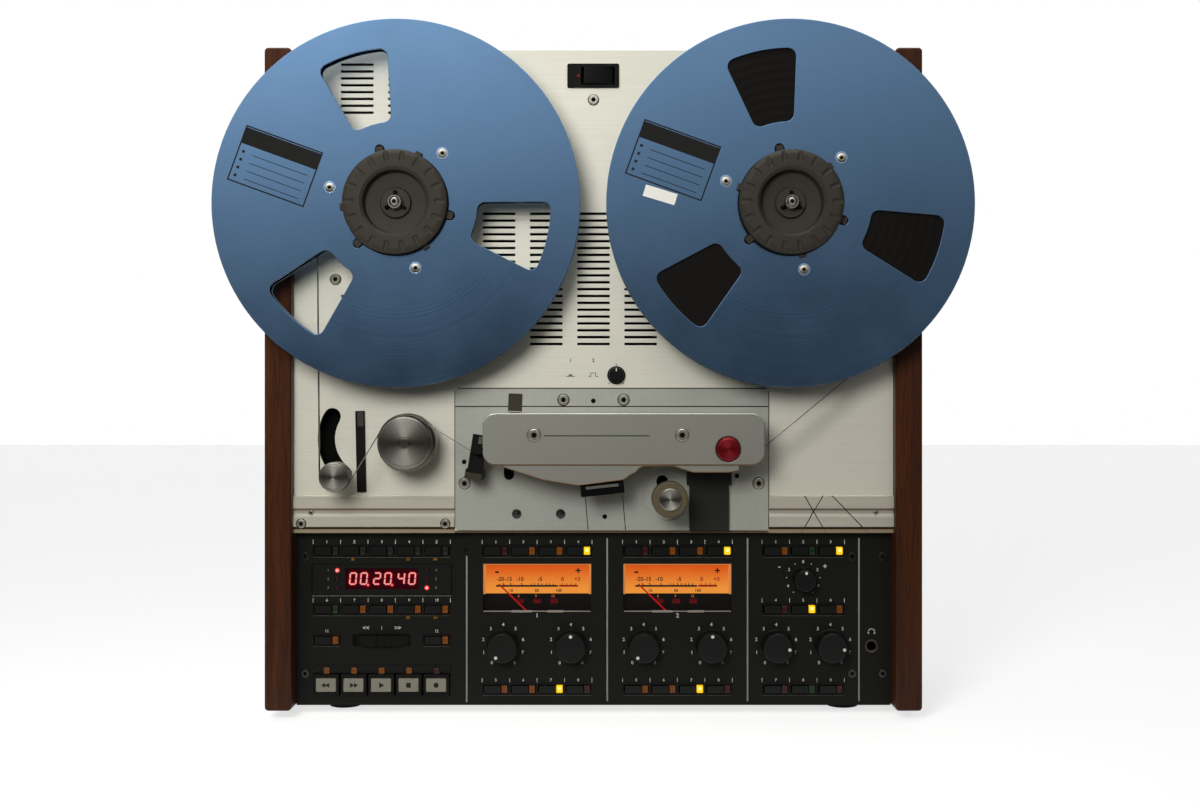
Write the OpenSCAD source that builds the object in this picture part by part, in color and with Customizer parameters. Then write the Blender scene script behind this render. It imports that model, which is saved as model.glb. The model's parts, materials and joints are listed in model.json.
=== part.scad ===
// Reel-to-reel tape recorder with two metal reels, a head block and a two-channel control panel.
// Millimetres. +Z is up, the front faces -Y, and the origin is under the middle of the machine.

/* [Cabinet] */
// Width of the transport section of the control panel
left_w = 129; // [115:0.5:160]
// Width of each channel section of the control panel
channel_w = 106.4; // [98:0.2:130]
// Width of the output section of the control panel
right_w = 84.2; // [76:0.2:110]
// Width of the headphone section of the control panel
phones_w = 24; // [20:0.5:40]
// Height of the control panel
panel_h = 131; // [124:0.5:160]
// How far the control panel sits behind the deck plate
panel_setback = 10; // [8:0.5:12]
// Thickness of the wooden side boards
side_t = 20; // [14:0.5:30]
// Corner radius of the boards' long edges
side_edge_r = 3; // [1:0.5:6]
// How far the boards stand in front of the deck plate
side_front = 11; // [4:0.5:20]
// Depth of the cabinet behind the deck plate
body_depth = 225; // [190:1:300]
// How far the rear cover sits inside the boards' back edge
rear_inset = 4; // [2:0.5:10]
// Height of the feet
foot_h = 8; // [5:0.5:20]
// Diameter of the feet
foot_d = 30; // [20:1:40]
// Thickness of the folded steel of the chassis
steel_t = 2; // [1.2:0.1:3]

/* [Deck plate] */
// Thickness of the deck plate and of the control panel
plate_t = 3; // [2:0.1:4]
// Height of the tape path below the reels
path_h = 108.8; // [106:0.2:130]
// Distance from the reel centres up to the top of the deck plate
hub_to_top = 120.1; // [105:0.1:160]
// Length of a vent slot
vent_l = 24.5; // [15:0.5:30]
// Height of a vent slot
vent_w = 2; // [1.2:0.1:3]
// Sideways pitch of the vent slots
vent_pitch_x = 35.5; // [32:0.1:38]
// Vertical pitch of the vent slots
vent_pitch_z = 5.15; // [4:0.05:5.3]
// Height of the splicing rails
rail_h = 28; // [26:0.5:34]
// Width of the tape groove in the splicing rails
groove_w = 6.5; // [6:0.1:8]

/* [Reels] */
// Diameter of the reel flanges
reel_d = 266.7; // [240:0.1:290]
// Free space between the two reels
reel_gap = 18.8; // [6:0.2:30]
// Thickness of a reel flange
flange_t = 1.2; // [0.8:0.1:2]
// Inside width of a reel
reel_width = 8.4; // [7.4:0.1:11]
// Distance from the deck plate to the middle of the tape
tape_plane = 38.2; // [36:0.1:46]
// Diameter of the hub that the tape winds on
hub_d = 114; // [104:0.5:124]
// Diameter of the hole in the reel
hub_hole_d = 76.2; // [70:0.1:82]
// Rim left outside the reel windows
window_rim = 21.3; // [15:0.1:30]
// Half of the angle that a reel window spans
window_half = 13.6; // [8:0.1:20]
// Corner radius of a reel window
window_r = 6; // [3:0.5:8]
// Angle of the first window of the supply reel
supply_angle = 106.8; // [60:0.1:180]
// Angle of the first window of the take-up reel
takeup_angle = 101.5; // [60:0.1:180]
// Empty rim above the wound tape of the take-up reel
pack_rim = 9.4; // [6:0.2:40]
// How far the hub adapters stand in front of the reels
adapter_rise = 10.4; // [6:0.2:14]
// Diameter of the reel spindles
spindle_d = 12; // [8:0.5:16]

/* [Tape path] */
// Width of the tape
tape_w = 6.3; // [6:0.1:6.5]
// Radius of the tension roller
tension_r = 10.8; // [8:0.1:12]
// Length of the tension arm
tension_arm_l = 33.7; // [31:0.1:36]
// Rest angle of the tension arm, from the right and up
tension_rest = 232.1; // [225:0.1:240]
// Travel of the tension arm
tension_travel = 82; // [40:1:84]
// Radius of the guide roller
guide_r = 19.6; // [15:0.1:21]
// Radius of the pinch roller
pinch_r = 13.2; // [11:0.1:13.6]
// Length of the pinch arm
pinch_arm_l = 40.75; // [38:0.25:44]
// Radius of the capstan
capstan_r = 4; // [2.5:0.1:5]
// Width of the head block plate
head_block_w = 234.7; // [220:0.1:250]
// Height of the head block plate
head_block_h = 106; // [102:0.2:107]
// Width of the head cover
head_cover_w = 202.8; // [190:0.2:210]
// Height of the head cover
head_cover_h = 37.4; // [32:0.2:42]
// How far the head cover stands in front of the deck plate
head_cover_front = 50; // [49:0.5:53]
// Diameter of the red cue button
cue_d = 17.2; // [12:0.2:18]

/* [Controls] */
// Sideways pitch of the keys
key_pitch = 20.8; // [19.8:0.1:21]
// Width of a small key
key_w = 12.9; // [9:0.1:13.5]
// Height of a small key and of its lamp
key_h = 5.5; // [4:0.1:7]
// Width of a key lamp
lamp_w = 4.6; // [3:0.1:5]
// Stroke of the small keys
key_stroke = 1.8; // [0.8:0.1:3]
// How far a key still stands out of the panel when it is pressed
key_proud = 1.2; // [0.6:0.1:3]
// Width of a transport key
transport_w = 19.5; // [15:0.1:19.6]
// Height of a transport key
transport_h = 16; // [12:0.1:18]
// Stroke of the transport keys
transport_stroke = 3; // [1:0.1:6]
// Radius of the level knobs
knob_r = 11.7; // [9:0.1:12.5]
// Height of the level knobs
knob_h = 15; // [10:0.5:20]
// Radius of the small deviation knob
small_knob_r = 8.7; // [6:0.1:10]
// Radius of the monitor volume knob
volume_r = 5.8; // [4:0.1:7]
// Radius of the shuttle wheel
shuttle_r = 30; // [25:0.5:34]
// Thickness of the shuttle wheel
shuttle_t = 7.6; // [6:0.1:9]
// How far the shuttle wheel stands out of the panel
shuttle_rise = 8; // [5:0.5:10]
// Width of a meter window
meter_w = 82; // [70:0.5:86]
// Height of a meter window
meter_h = 36.4; // [30:0.2:40]
// Length of a meter needle
needle_l = 41; // [36:0.5:43]
// Rest angle of a meter needle, left of upright
needle_rest = 46; // [40:1:50]
// Width of the counter window
counter_w = 55; // [45:0.5:70]
// Height of the counter window
counter_h = 15.8; // [12:0.2:18]
// Bore of the headphone jack
jack_bore = 6.5; // [6.4:0.1:6.6]

/* [Hidden] */
$fn = 64;

// Clearances and small constants
running_gap = 0.3;
fit_gap = 0.4;
seam = 0.5;
cut = 1;
corner_steps = 6;

// Overall layout, seen from the front
deck_w = left_w + 2 * channel_w + right_w + phones_w;
half_w = deck_w / 2;
panel_z0 = foot_h + seam;
panel_top = panel_z0 + panel_h;
deck_z0 = panel_top + seam;
reel_r = reel_d / 2;
hub_z = deck_z0 + path_h + reel_r;
deck_top = hub_z + hub_to_top;
deck_h = deck_top - deck_z0;
hub_x = (reel_d + reel_gap) / 2;
supply_hub = [-hub_x, hub_z];
takeup_hub = [hub_x, hub_z];

// Depths in front of the deck plate's face, and its place along Y
reel_back = tape_plane - reel_width / 2 - flange_t;
reel_front = tape_plane + reel_width / 2 + flange_t;
adapter_front = reel_front + adapter_rise;
plate_y = (adapter_front - body_depth) / 2;
panel_face = -panel_setback;
panel_back = panel_face - plate_t;
rim_back = min(panel_back, -plate_t - 6);
subplate_t = 4;
subplate_front = rim_back - 5;
subplate_back = subplate_front - subplate_t;
rear_face = -body_depth + rear_inset;

// Control panel sections, from the left
section_x = [-half_w, -half_w + left_w, -half_w + left_w + channel_w,
    -half_w + left_w + 2 * channel_w, half_w - phones_w];
left_cx = section_x[0] + left_w / 2;
channel_cx = [section_x[1] + channel_w / 2, section_x[2] + channel_w / 2];
right_cx = section_x[3] + right_w / 2;
jack_at = [section_x[4] + 9.6, panel_top - 86.2];
jack_r = jack_bore / 2 + 1.3;
jack_gap = 0.05;

// Rows of the control panel, measured from its top or bottom edge
row_a = panel_top - 14.1;
row_counter = panel_top - 35.4;
row_b = panel_top - 58.3;
row_c = panel_top - 81.7;
row_meter = panel_top - 42.2;
row_knob = panel_top - 85.8;
row_deviation = panel_top - 35.2;
row_low = panel_z0 + 12.2;
row_transport = panel_z0 + 15.8;
row_transport_lamp = row_transport + transport_h / 2 + 2.4;
knob_spread = 25.65;
repro_spread = 20.5;

// Keys in each row of a section, and the two outer keys beside the shuttle wheel
left_count = 5;
channel_count = 4;
right_count = 3;
right_rows = [row_a, row_b, row_low];
outer_keys_c = 2;

// Knobs: place, radius and height
mic_1_at = [channel_cx[0] - knob_spread, row_knob];
line_1_at = [channel_cx[0] + knob_spread, row_knob];
mic_2_at = [channel_cx[1] - knob_spread, row_knob];
line_2_at = [channel_cx[1] + knob_spread, row_knob];
repro_1_at = [right_cx - repro_spread, row_knob];
repro_2_at = [right_cx + repro_spread, row_knob];
deviation_at = [right_cx, row_deviation];
knob_shaft_r = 3;
panel_knobs = [mic_1_at, line_1_at, mic_2_at, line_2_at, repro_1_at, repro_2_at, deviation_at];

// Shuttle wheel: its axle stands upright behind the panel
shuttle_d = panel_face + shuttle_rise - shuttle_r;
shuttle_slot_gap = 1;
shuttle_axle_r = 3;

// Meters
meter_depth = 16;
needle_depth = panel_back - 4;
needle_drop = 26.3;
needle_w = 1.1;
needle_pin_r = 1;
needle_pivots = [[channel_cx[0], row_meter - needle_drop], [channel_cx[1], row_meter - needle_drop]];

// Deck pieces, placed from the lower edge of the deck plate
head_block_cx = 13.75;
head_block_z0 = deck_z0 + 2;
head_block_face = 3;
head_block_x = [head_block_cx - head_block_w / 2, head_block_cx + head_block_w / 2];
head_opening_edge = 6;
tension_pivot = [-167, deck_z0 + 70.5];
tension_at = tension_pivot + tension_arm_l * [cos(tension_rest), sin(tension_rest)];
guide_at = [-136.4, deck_z0 + 68.4];
head_cover_at = [21.9, deck_z0 + 71.4];
cue_at = [97.1, deck_z0 + 64.2];
head_r = 11;
head_z = deck_z0 + 50 + head_r;
head_x = [-46, -6, 30];
left_guide_at = [-83.5, deck_z0 + 63.2];
right_guide_at = [117.5, deck_z0 + 64.3];
fixed_guide_r = 3;
volume_at = [17.1, deck_z0 + 118.3];
switch_at = [-0.2, deck_top - 19.2];
switch_w = 38.9;
switch_h = 18.2;
rocker_w = 22;
rocker_h = 12.6;
rocker_x = switch_at.x + 3.5;
rocker_tilt = 7;
rocker_pin_r = 1;
rocker_pin_l = rocker_h + 2 * fit_gap + 1.6;
rocker_pin_d = 1;
roller_half = 7;
roller_pin_r = 3;
post_r = 4;
shield_x = [-9.3, 22.4];
shield_z = deck_z0 + 34.5;
shield_bar_h = 9;
shield_bar_lean = 6;
shield_top = shield_z + shield_bar_h / 2 - 0.4;
shield_hinge_d = head_block_face + 6;
shield_reach = 44;
shield_pin_r = 1.5;
shield_pin_l = 2;
ear_t = 1.7;
ear_r = 3.2;

// What the tape passes, in order: middle, radius, and 1 where it turns left or -1 where it turns right
tape_t = 0.2;
tape_clear = 0.35;
pack_r = reel_r - pack_rim;
tape_stops = [
    [supply_hub, hub_d / 2 + 0.4, 1], [tension_at, tension_r, 1], [guide_at, guide_r, -1],
    [left_guide_at, fixed_guide_r, 1], [[head_x[0], head_z], head_r, 1], [[head_x[2], head_z], head_r, 1],
    [right_guide_at, fixed_guide_r, 1], [takeup_hub, pack_r, 1]];
tape_last = len(tape_stops) - 1;
heads_end = 5;

function signed_r(k) = tape_stops[k][2] * (tape_stops[k][1] + tape_clear);
// Direction of the straight stretch after stop k
function heading(k) = let (step = tape_stops[k + 1][0] - tape_stops[k][0])
    atan2(step.y, step.x) - asin((signed_r(k + 1) - signed_r(k)) / norm(step));
function side_point(k, angle, offset) = tape_stops[k][0]
    + (signed_r(k) + offset) * [cos(angle - 90), sin(angle - 90)];

// The capstan stands on the tape after the heads, and the pinch arm swings up until it closes on it
capstan_x = 51.5;
tape_rise = heading(heads_end);
tape_from = side_point(heads_end, tape_rise, 0);
capstan_at = [capstan_x, tape_from.y + (capstan_x - tape_from.x) * tan(tape_rise)
    + (capstan_r + tape_clear) / cos(tape_rise)];
pinch_pivot = [91.6, deck_z0 + 46.7];
pinch_rest = 207.8;
pinch_at = pinch_pivot + pinch_arm_l * [cos(pinch_rest), sin(pinch_rest)];
to_capstan = capstan_at - pinch_pivot;
closed_gap = capstan_r + pinch_r + 2 * tape_clear;
pinch_end = 180 - atan2(to_capstan.y, -to_capstan.x)
    + acos((pow(pinch_arm_l, 2) + pow(norm(to_capstan), 2) - pow(closed_gap, 2))
        / (2 * pinch_arm_l * norm(to_capstan)));
pinch_travel = pinch_rest - pinch_end;

// Helpers

// Points on a circular arc, from angle a0 to angle a1
function arc(c, r, a0, a1, n) = [for (k = [0 : n]) c + r * [cos(a0 + (a1 - a0) * k / n),
    sin(a0 + (a1 - a0) * k / n)]];

// Outline of a rectangle with round corners, about its middle
function round_rect(w, h, r) = let (x = w / 2 - r, y = h / 2 - r) concat(
    arc([x, y], r, 0, 90, corner_steps), arc([-x, y], r, 90, 180, corner_steps),
    arc([-x, -y], r, 180, 270, corner_steps), arc([x, -y], r, 270, 360, corner_steps));

// Outline of a ring sector about the angle 0, with round corners
function round_sector(r0, r1, half, r) = let (
    inner_turn = asin(r / (r0 + r)), outer_turn = asin(r / (r1 - r)),
    inner = (r0 + r) * [cos(half - inner_turn), sin(half - inner_turn)],
    outer = (r1 - r) * [cos(half - outer_turn), sin(half - outer_turn)],
    low_inner = [inner.x, -inner.y], low_outer = [outer.x, -outer.y]) concat(
    arc([0, 0], r1, outer_turn - half, half - outer_turn, 2 * corner_steps),
    arc(outer, r, half - outer_turn, half + 90, corner_steps),
    arc(inner, r, half + 90, half - inner_turn + 180, corner_steps),
    arc([0, 0], r0, half - inner_turn, inner_turn - half, corner_steps),
    arc(low_inner, r, 180 - half + inner_turn, 270 - half, corner_steps),
    arc(low_outer, r, 270 - half, 360 - half + outer_turn, corner_steps));

// Outline of a curved slot with round ends about the middle of a swing
function swing_slot(r, a0, a1, w) = concat(
    arc([0, 0], r + w / 2, a0, a1, 3 * corner_steps),
    arc(r * [cos(a1), sin(a1)], w / 2, a1, a1 + 180, corner_steps),
    arc([0, 0], r - w / 2, a1, a0, 3 * corner_steps),
    arc(r * [cos(a0), sin(a0)], w / 2, a0 + 180, a0 + 360, corner_steps));

// A flat shape drawn as seen from the front, between two depths in front of the deck plate
module slab(back, front) {
    translate([0, plate_y - back, 0]) rotate([90, 0, 0]) linear_extrude(front - back) children();
}

// A turned shape about an axis square to the deck plate: outline of radius and depth
module turned(at, outline) {
    translate([at.x, plate_y, at.y]) rotate([90, 0, 0]) rotate_extrude() polygon(outline);
}

module rod(at, r, back, front) {
    slab(back, front) translate(at) circle(r);
}

module plate_at(at, w, h, r, back, front) {
    slab(back, front) translate(at) polygon(round_rect(w, h, r));
}

// Middles of the keys in a row
function key_middles(row_x, row_z, count) = [for (k = [0 : count - 1])
    [row_x + (k - (count - 1) / 2) * key_pitch, row_z]];

function left_keys() = concat(
    [for (z = [row_a, row_b]) each key_middles(left_cx, z, left_count)],
    [for (side = [-1, 1]) [left_cx + side * outer_keys_c * key_pitch, row_c]]);
function channel_keys(n) = [for (z = [row_a, row_low]) each key_middles(channel_cx[n], z, channel_count)];
function right_keys() = [for (z = right_rows) each key_middles(right_cx, z, right_count)];
function transport_keys() = key_middles(left_cx, row_transport, left_count);

// A key and its lamp share a slot: the cap on the left and the lamp on the right
key_slot_w = key_w + lamp_w + 3 * running_gap;
key_shift = -(lamp_w + running_gap) / 2;
lamp_shift = (key_w + running_gap) / 2;

// Cabinet

module side_board(side) {
    color([0.24, 0.13, 0.08]) slab(-body_depth, side_front)
        translate([side * (half_w + side_t / 2), foot_h + (deck_top - foot_h) / 2])
            polygon(round_rect(side_t, deck_top - foot_h, side_edge_r));
}

module side_panel_left() {
    side_board(-1);
}

module side_panel_right() {
    side_board(1);
}

// Folded steel box, open at the front and back, with the transport sub-plate across it
module chassis() {
    inner_w = deck_w - 2 * steel_t;
    color([0.6, 0.6, 0.58]) difference() {
        union() {
            slab(rear_face, rim_back) difference() {
                translate([-half_w, foot_h]) square([deck_w, deck_top - foot_h]);
                translate([-inner_w / 2, foot_h + steel_t])
                    square([inner_w, deck_top - foot_h - 2 * steel_t]);
            }
            slab(subplate_back, subplate_front) translate([-half_w + steel_t, deck_z0])
                square([inner_w, deck_h - steel_t]);
        }
        for (at = [supply_hub, takeup_hub, capstan_at])
            rod(at, bearing_r, subplate_back - cut, subplate_front + cut);
        for (at = [tension_pivot, pinch_pivot])
            rod(at, post_r + running_gap, subplate_back - cut, subplate_front + cut);
    }
}

bearing_r = spindle_d / 2 + 5;
connector_z = foot_h + 150;
connector_x = [-150, -90, -30, 30];
connector_r = 12;
rear_vent = [30, 4];
rear_vent_pitch = [40, 12];
rear_vent_top = deck_top - 60;
inlet_at = [195, foot_h + 60];
inlet_w = 28;
inlet_h = 48;
socket_at = [100, foot_h + 150];
socket_w = 64;
socket_h = 14;

module rear_cover() {
    rear_w = deck_w - 2 * seam;
    rear_h = deck_top - foot_h - 2 * seam;
    color([0.2, 0.2, 0.2]) difference() {
        slab(rear_face - steel_t, rear_face) translate([-rear_w / 2, foot_h + seam])
            square([rear_w, rear_h]);
        for (x = connector_x) rod([x, connector_z], connector_r, rear_face - 2 * steel_t, rear_face + cut);
        plate_at(inlet_at, inlet_w, inlet_h, 3, rear_face - 2 * steel_t, rear_face + cut);
        plate_at(socket_at, socket_w, socket_h, 2, rear_face - 2 * steel_t, rear_face + cut);
        for (row = [0 : 7], column = [-4 : 4])
            slab(rear_face - 2 * steel_t, rear_face + cut)
                translate([column * rear_vent_pitch.x, rear_vent_top - row * rear_vent_pitch.y])
                    square(rear_vent, center = true);
    }
}

foot_at = [half_w - 30, 40];
foot_taper = 3;
module feet() {
    color([0.05, 0.05, 0.05]) for (side = [-1, 1], back = [-rim_back + foot_at.y, body_depth - foot_at.y])
        translate([side * foot_at.x, plate_y + back, 0]) rotate_extrude()
            polygon([[0, 0], [foot_d / 2 - foot_taper, 0], [foot_d / 2, foot_h], [0, foot_h]]);
}

// Deck

// Rows and columns of vent slots: the outer columns leave the middle of the reels free
vent_low = deck_z0 + 141.8;
vent_high = deck_top - 10.6;
vent_columns = 5;
tall_columns = 2;
tall_rows = 20;
short_rows = 8;
module vent_column(column, first_z, step, rows) {
    for (row = [0 : rows - 1]) translate([column * vent_pitch_x, first_z + row * step])
        square([vent_l, vent_w], center = true);
}
module vents() {
    for (column = [-vent_columns : vent_columns]) {
        tall = abs(column) <= tall_columns;
        vent_column(column, vent_low, vent_pitch_z, tall ? tall_rows : short_rows);
        if (!tall) vent_column(column, vent_high, -vent_pitch_z, short_rows);
    }
}

tension_slot_w = 2 * post_r + 5;
spindle_hole_r = spindle_d / 2 + 8;
switch_body = [switch_w - 6, switch_h - 1.6];
module deck_plate() {
    rim_t = 2;
    head_opening = [head_block_w - 2 * head_opening_edge, head_block_h - 2 * head_opening_edge];
    color([0.82, 0.81, 0.75]) {
        slab(-plate_t, 0) difference() {
            translate([-half_w, deck_z0]) square([deck_w, deck_h]);
            vents();
            for (at = [supply_hub, takeup_hub]) translate(at) circle(spindle_hole_r);
            translate(tension_pivot) polygon(swing_slot(tension_arm_l, tension_rest - tension_travel,
                tension_rest, tension_slot_w));
            translate([head_block_cx, head_block_z0 + head_block_h / 2]) square(head_opening, center = true);
            translate(switch_at) square(switch_body, center = true);
            translate(volume_at) circle(knob_shaft_r + fit_gap);
        }
        slab(rim_back, -plate_t) difference() {
            translate([-half_w, deck_z0]) square([deck_w, deck_h]);
            translate([-half_w + rim_t, deck_z0 + rim_t]) square([deck_w - 2 * rim_t, deck_h - 2 * rim_t]);
        }
    }
}

// Two rails with a groove one tape wide, for cutting and joining tape
rail_face = 3.4;
rail_low_step = 4.6;
rail_lip = 2.4;
rail_lip_h = 2.7;
rail_gap_floor = 0.6;
rail_chamfer = 0.5;
groove_sag = 1.6;
groove_steps = 8;
groove_z = deck_z0 + 12;
groove_r = (pow(groove_w / 2, 2) + pow(groove_sag, 2)) / (2 * groove_sag);
groove_screw_x = [-211.8, 211.8];
groove_screw_r = 1.7;
groove_bore_r = 2;
groove_bore_floor = 1.2;
cut_lines = [[165, 30], [165, -30], [190.4, -44]];
cut_w = 0.7;
cut_floor = 1.2;
function groove_depth(u) = rail_face - groove_sag + groove_r - sqrt(pow(groove_r, 2) - pow(u, 2));
module rail(x0, x1) {
    rail_top = deck_z0 + rail_h;
    lip_top = deck_z0 + rail_lip_h;
    land = deck_z0 + rail_low_step;
    groove = [for (i = [0:groove_steps]) let (t = i / groove_steps)
        [groove_depth(groove_w * (t - 0.5)), groove_z + groove_w * t]];
    outline = concat([[0, deck_z0], [rail_lip, deck_z0], [rail_lip, lip_top], [rail_gap_floor, lip_top],
        [rail_gap_floor, land], [rail_face, land]], groove,
        [[rail_face, rail_top - rail_chamfer], [rail_face - rail_chamfer, rail_top], [0, rail_top]]);
    translate([x0, plate_y, 0]) rotate([90, 0, 90]) linear_extrude(x1 - x0)
        polygon([for (p = outline) [-p.x, p.y]]);
}

// Saw cuts across the right-hand rail guide the blade
module splicing_rails() {
    color([0.78, 0.78, 0.72]) difference() {
        union() {
            rail(-half_w, head_block_x[0] - seam);
            rail(head_block_x[1] + seam, half_w);
        }
        for (line = cut_lines)
            translate([line.x, plate_y - rail_face, deck_z0 + rail_h / 2 + 2]) rotate([0, line.y, 0])
                cube([cut_w, 2 * (rail_face - cut_floor), 2 * rail_h], center = true);
        for (x = groove_screw_x) rod([x, groove_z + groove_w / 2], groove_bore_r, groove_bore_floor, rail_face + cut);
    }
}

// Head block

module pinch_slot() {
    translate(pinch_pivot)
        polygon(swing_slot(pinch_arm_l, pinch_rest - pinch_travel, pinch_rest, 2 * roller_pin_r + 3));
}

fold_z = head_block_z0 + 92.8;
fold_w = 0.8;
pinch_recess = 1;
seam_lines = [[-5, -5], [23, -5]];
seam_cut = [0.6, 1, 30];
module head_block_plate() {
    middle = [head_block_cx, head_block_z0 + head_block_h / 2];
    color([0.57, 0.59, 0.56]) difference() {
        slab(0, head_block_face) difference() {
            translate(middle) polygon(round_rect(head_block_w, head_block_h, 2.5));
            pinch_slot();
            translate(capstan_at) circle(capstan_r + 3);
        }
        rod(pinch_at, pinch_r + 5, head_block_face - pinch_recess, head_block_face + cut);
        slab(head_block_face - fold_w, head_block_face + cut) translate([middle.x, fold_z])
            square([head_block_w + cut, fold_w], center = true);
        for (line = seam_lines)
            translate([line.x, plate_y - head_block_face, head_block_z0 + 12]) rotate([0, line.y, 0])
                cube(seam_cut, center = true);
    }
    // Ears for the hinge pins of the shield
    color([0.57, 0.59, 0.56]) for (x = [shield_x[0], shield_x[1] - ear_t])
        translate([x, plate_y - shield_hinge_d, shield_z]) difference() {
            translate([0, -ear_r, -ear_r])
                cube([ear_t, ear_r + shield_hinge_d - head_block_face, 2 * ear_r]);
            translate([-cut, 0, 0]) rotate([0, 90, 0])
                cylinder(r = shield_pin_r + running_gap, h = ear_t + 2 * cut);
        }
}

cover_wall = 2;
cover_corner = 9;
cover_post_x = [-42.5, 64];
cover_post_z = head_cover_at.y + 3;
skirt_front = head_cover_front - cover_wall - running_gap;
skirt_back = skirt_front - 2.4;
skirt_lap = 2.2;
notch_rise = 4;
// Front shell over the heads, open below for the tape, and the screen that hangs under it
module head_cover() {
    top = head_cover_at.y + head_cover_h / 2;
    bottom = head_cover_at.y - head_cover_h / 2;
    left = head_cover_at.x - head_cover_w / 2;
    color([0.48, 0.49, 0.46]) {
        difference() {
            plate_at(head_cover_at, head_cover_w, head_cover_h, cover_corner, head_block_face,
                head_cover_front);
            slab(head_block_face - cut, head_cover_front - cover_wall)
                translate([left + cover_wall, bottom - cut])
                    square([head_cover_w - 2 * cover_wall, head_cover_h - cover_wall + cut]);
            for (side = [-1, 1])
                slab(head_block_face + 8, head_cover_front - cover_wall)
                    translate([head_cover_at.x + side * head_cover_w / 2, bottom])
                        square([3 * cover_wall, head_cover_h + 2 * notch_rise], center = true);
            rod(cue_at, cue_d / 2 + fit_gap, head_cover_front - 3 * cover_wall, head_cover_front + cut);
        }
        // Two posts carry the cover and its screws
        for (x = cover_post_x) rod([x, cover_post_z], 5, head_block_face, head_cover_front - cover_wall);
        slab(skirt_back, skirt_front + running_gap) polygon(concat(
            [[left + 14, bottom + skirt_lap], [left + 14, bottom - 1], [-36, deck_z0 + 42.4]],
            [[shield_x[0] - 3, shield_top], [shield_x[0], shield_top]],
            arc([shield_x[1] - 4, shield_top + 13.6], 10, 280, 322, corner_steps),
            arc([shield_x[1] + 15.6, deck_z0 + 44], 8.2, 150, 90, corner_steps),
            [[58, deck_z0 + 52.2], [64, deck_z0 + 50.2], [72, deck_z0 + 47.8],
            [98, deck_z0 + 47.8], [105, deck_z0 + 49.4], [105, bottom + skirt_lap]]));
    }
}

// Erase, record and playback heads on their brackets
module tape_heads() {
    color([0.75, 0.75, 0.73]) for (x = head_x) {
        slab(tape_plane - 9, tape_plane + 4.5) difference() {
            translate([x, head_z]) circle(head_r);
            translate([x - head_r - cut, head_z]) square([2 * head_r + 2 * cut, head_r + cut]);
        }
        slab(head_block_face, tape_plane + 4.5) translate([x - head_r, head_z]) square([2 * head_r, 8]);
    }
}

sensor_at = [-174.6, deck_z0 + 61];
sensor_size = [7, 61];
apron_x = [71.8, 101.2];
apron_lip = 2;
guide_lean = 9;
guide_drop = 16;
// Black plastic guides, the sensor bar, the pinch guard and the roller post
module tape_guides() {
    color([0.06, 0.06, 0.06]) {
        for (at = [left_guide_at, right_guide_at]) rod(at, fixed_guide_r, head_block_face, tape_plane + 5);
        slab(tape_plane - 9, tape_plane - 5) translate(left_guide_at) rotate(-guide_lean)
            translate([-6, -guide_drop]) square([11, 27]);
        slab(head_block_face, tape_plane - 5) translate(left_guide_at) rotate(-guide_lean)
            translate([-7.4, -guide_drop - 6]) square([12.4, 7]);
        slab(0, 2) translate(sensor_at) rotate(1.2) square(sensor_size, center = true);
        slab(head_block_face, head_block_face + 4) {
            translate([apron_x[0], head_block_z0]) square([apron_x[1] - apron_x[0], 37]);
            translate([apron_x[0] - apron_lip, head_block_z0 + 34])
                square([apron_x[1] - apron_x[0] + 2 * apron_lip, 9.6]);
        }
        for (x = [-57.6, -24.6]) turned([x, deck_z0 + 14.4],
            concat([[0, head_block_face]], arc([0, head_block_face], 3.6, 0, 90, corner_steps)));
        rod(guide_at, post_r, 0, tape_plane + roller_half);
        rod(guide_at, post_r + 6, 0, tape_plane - 20);
    }
}

// Screws with hexagon sockets, and black panel screws
deck_screws = [[0, hub_z + 83], [-193.7, hub_z - 51.8], [193.7, hub_z - 51.8]];
rail_screws = [[-219, deck_z0 + 7], [-111, deck_z0 + 7]];
block_screws = [[-22.5, fold_z + 5], [22.6, fold_z + 5], [-96.5, deck_z0 + 37.3], [123.7, deck_z0 + 37.3]];
panel_screw_drop = [18.3, 107];
panel_screw_x = [-half_w + 6.6, section_x[4] - 5.1, half_w - 6];
module hex_screw(at, r, seat, rise) {
    difference() {
        rod(at, r, seat, seat + rise);
        slab(seat + rise - 1, seat + rise + cut) translate(at) circle(r * 0.5, $fn = 6);
    }
}
module front_screws() {
    color([0.7, 0.7, 0.68]) {
        for (at = deck_screws) hex_screw(at, 3.6, 0, 1.6);
        for (at = rail_screws) hex_screw(at, 3.2, rail_face, 1.2);
        for (x = groove_screw_x) hex_screw([x, groove_z + groove_w / 2], groove_screw_r, groove_bore_floor, 1.2);
        for (at = block_screws) hex_screw(at, 3.9, head_block_face, 2);
        for (x = cover_post_x) hex_screw([x, cover_post_z], 4.3, head_cover_front, 1.2);
    }
    color([0.04, 0.04, 0.04]) for (x = panel_screw_x, drop = panel_screw_drop)
        hex_screw([x, panel_top - drop], 3.2, panel_face, 1.4);
}

// Control panel

module key_slots(keys) {
    slot = [key_slot_w + 2 * running_gap, key_h + 2 * running_gap];
    for (at = keys) translate(at) square(slot, center = true);
}

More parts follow.
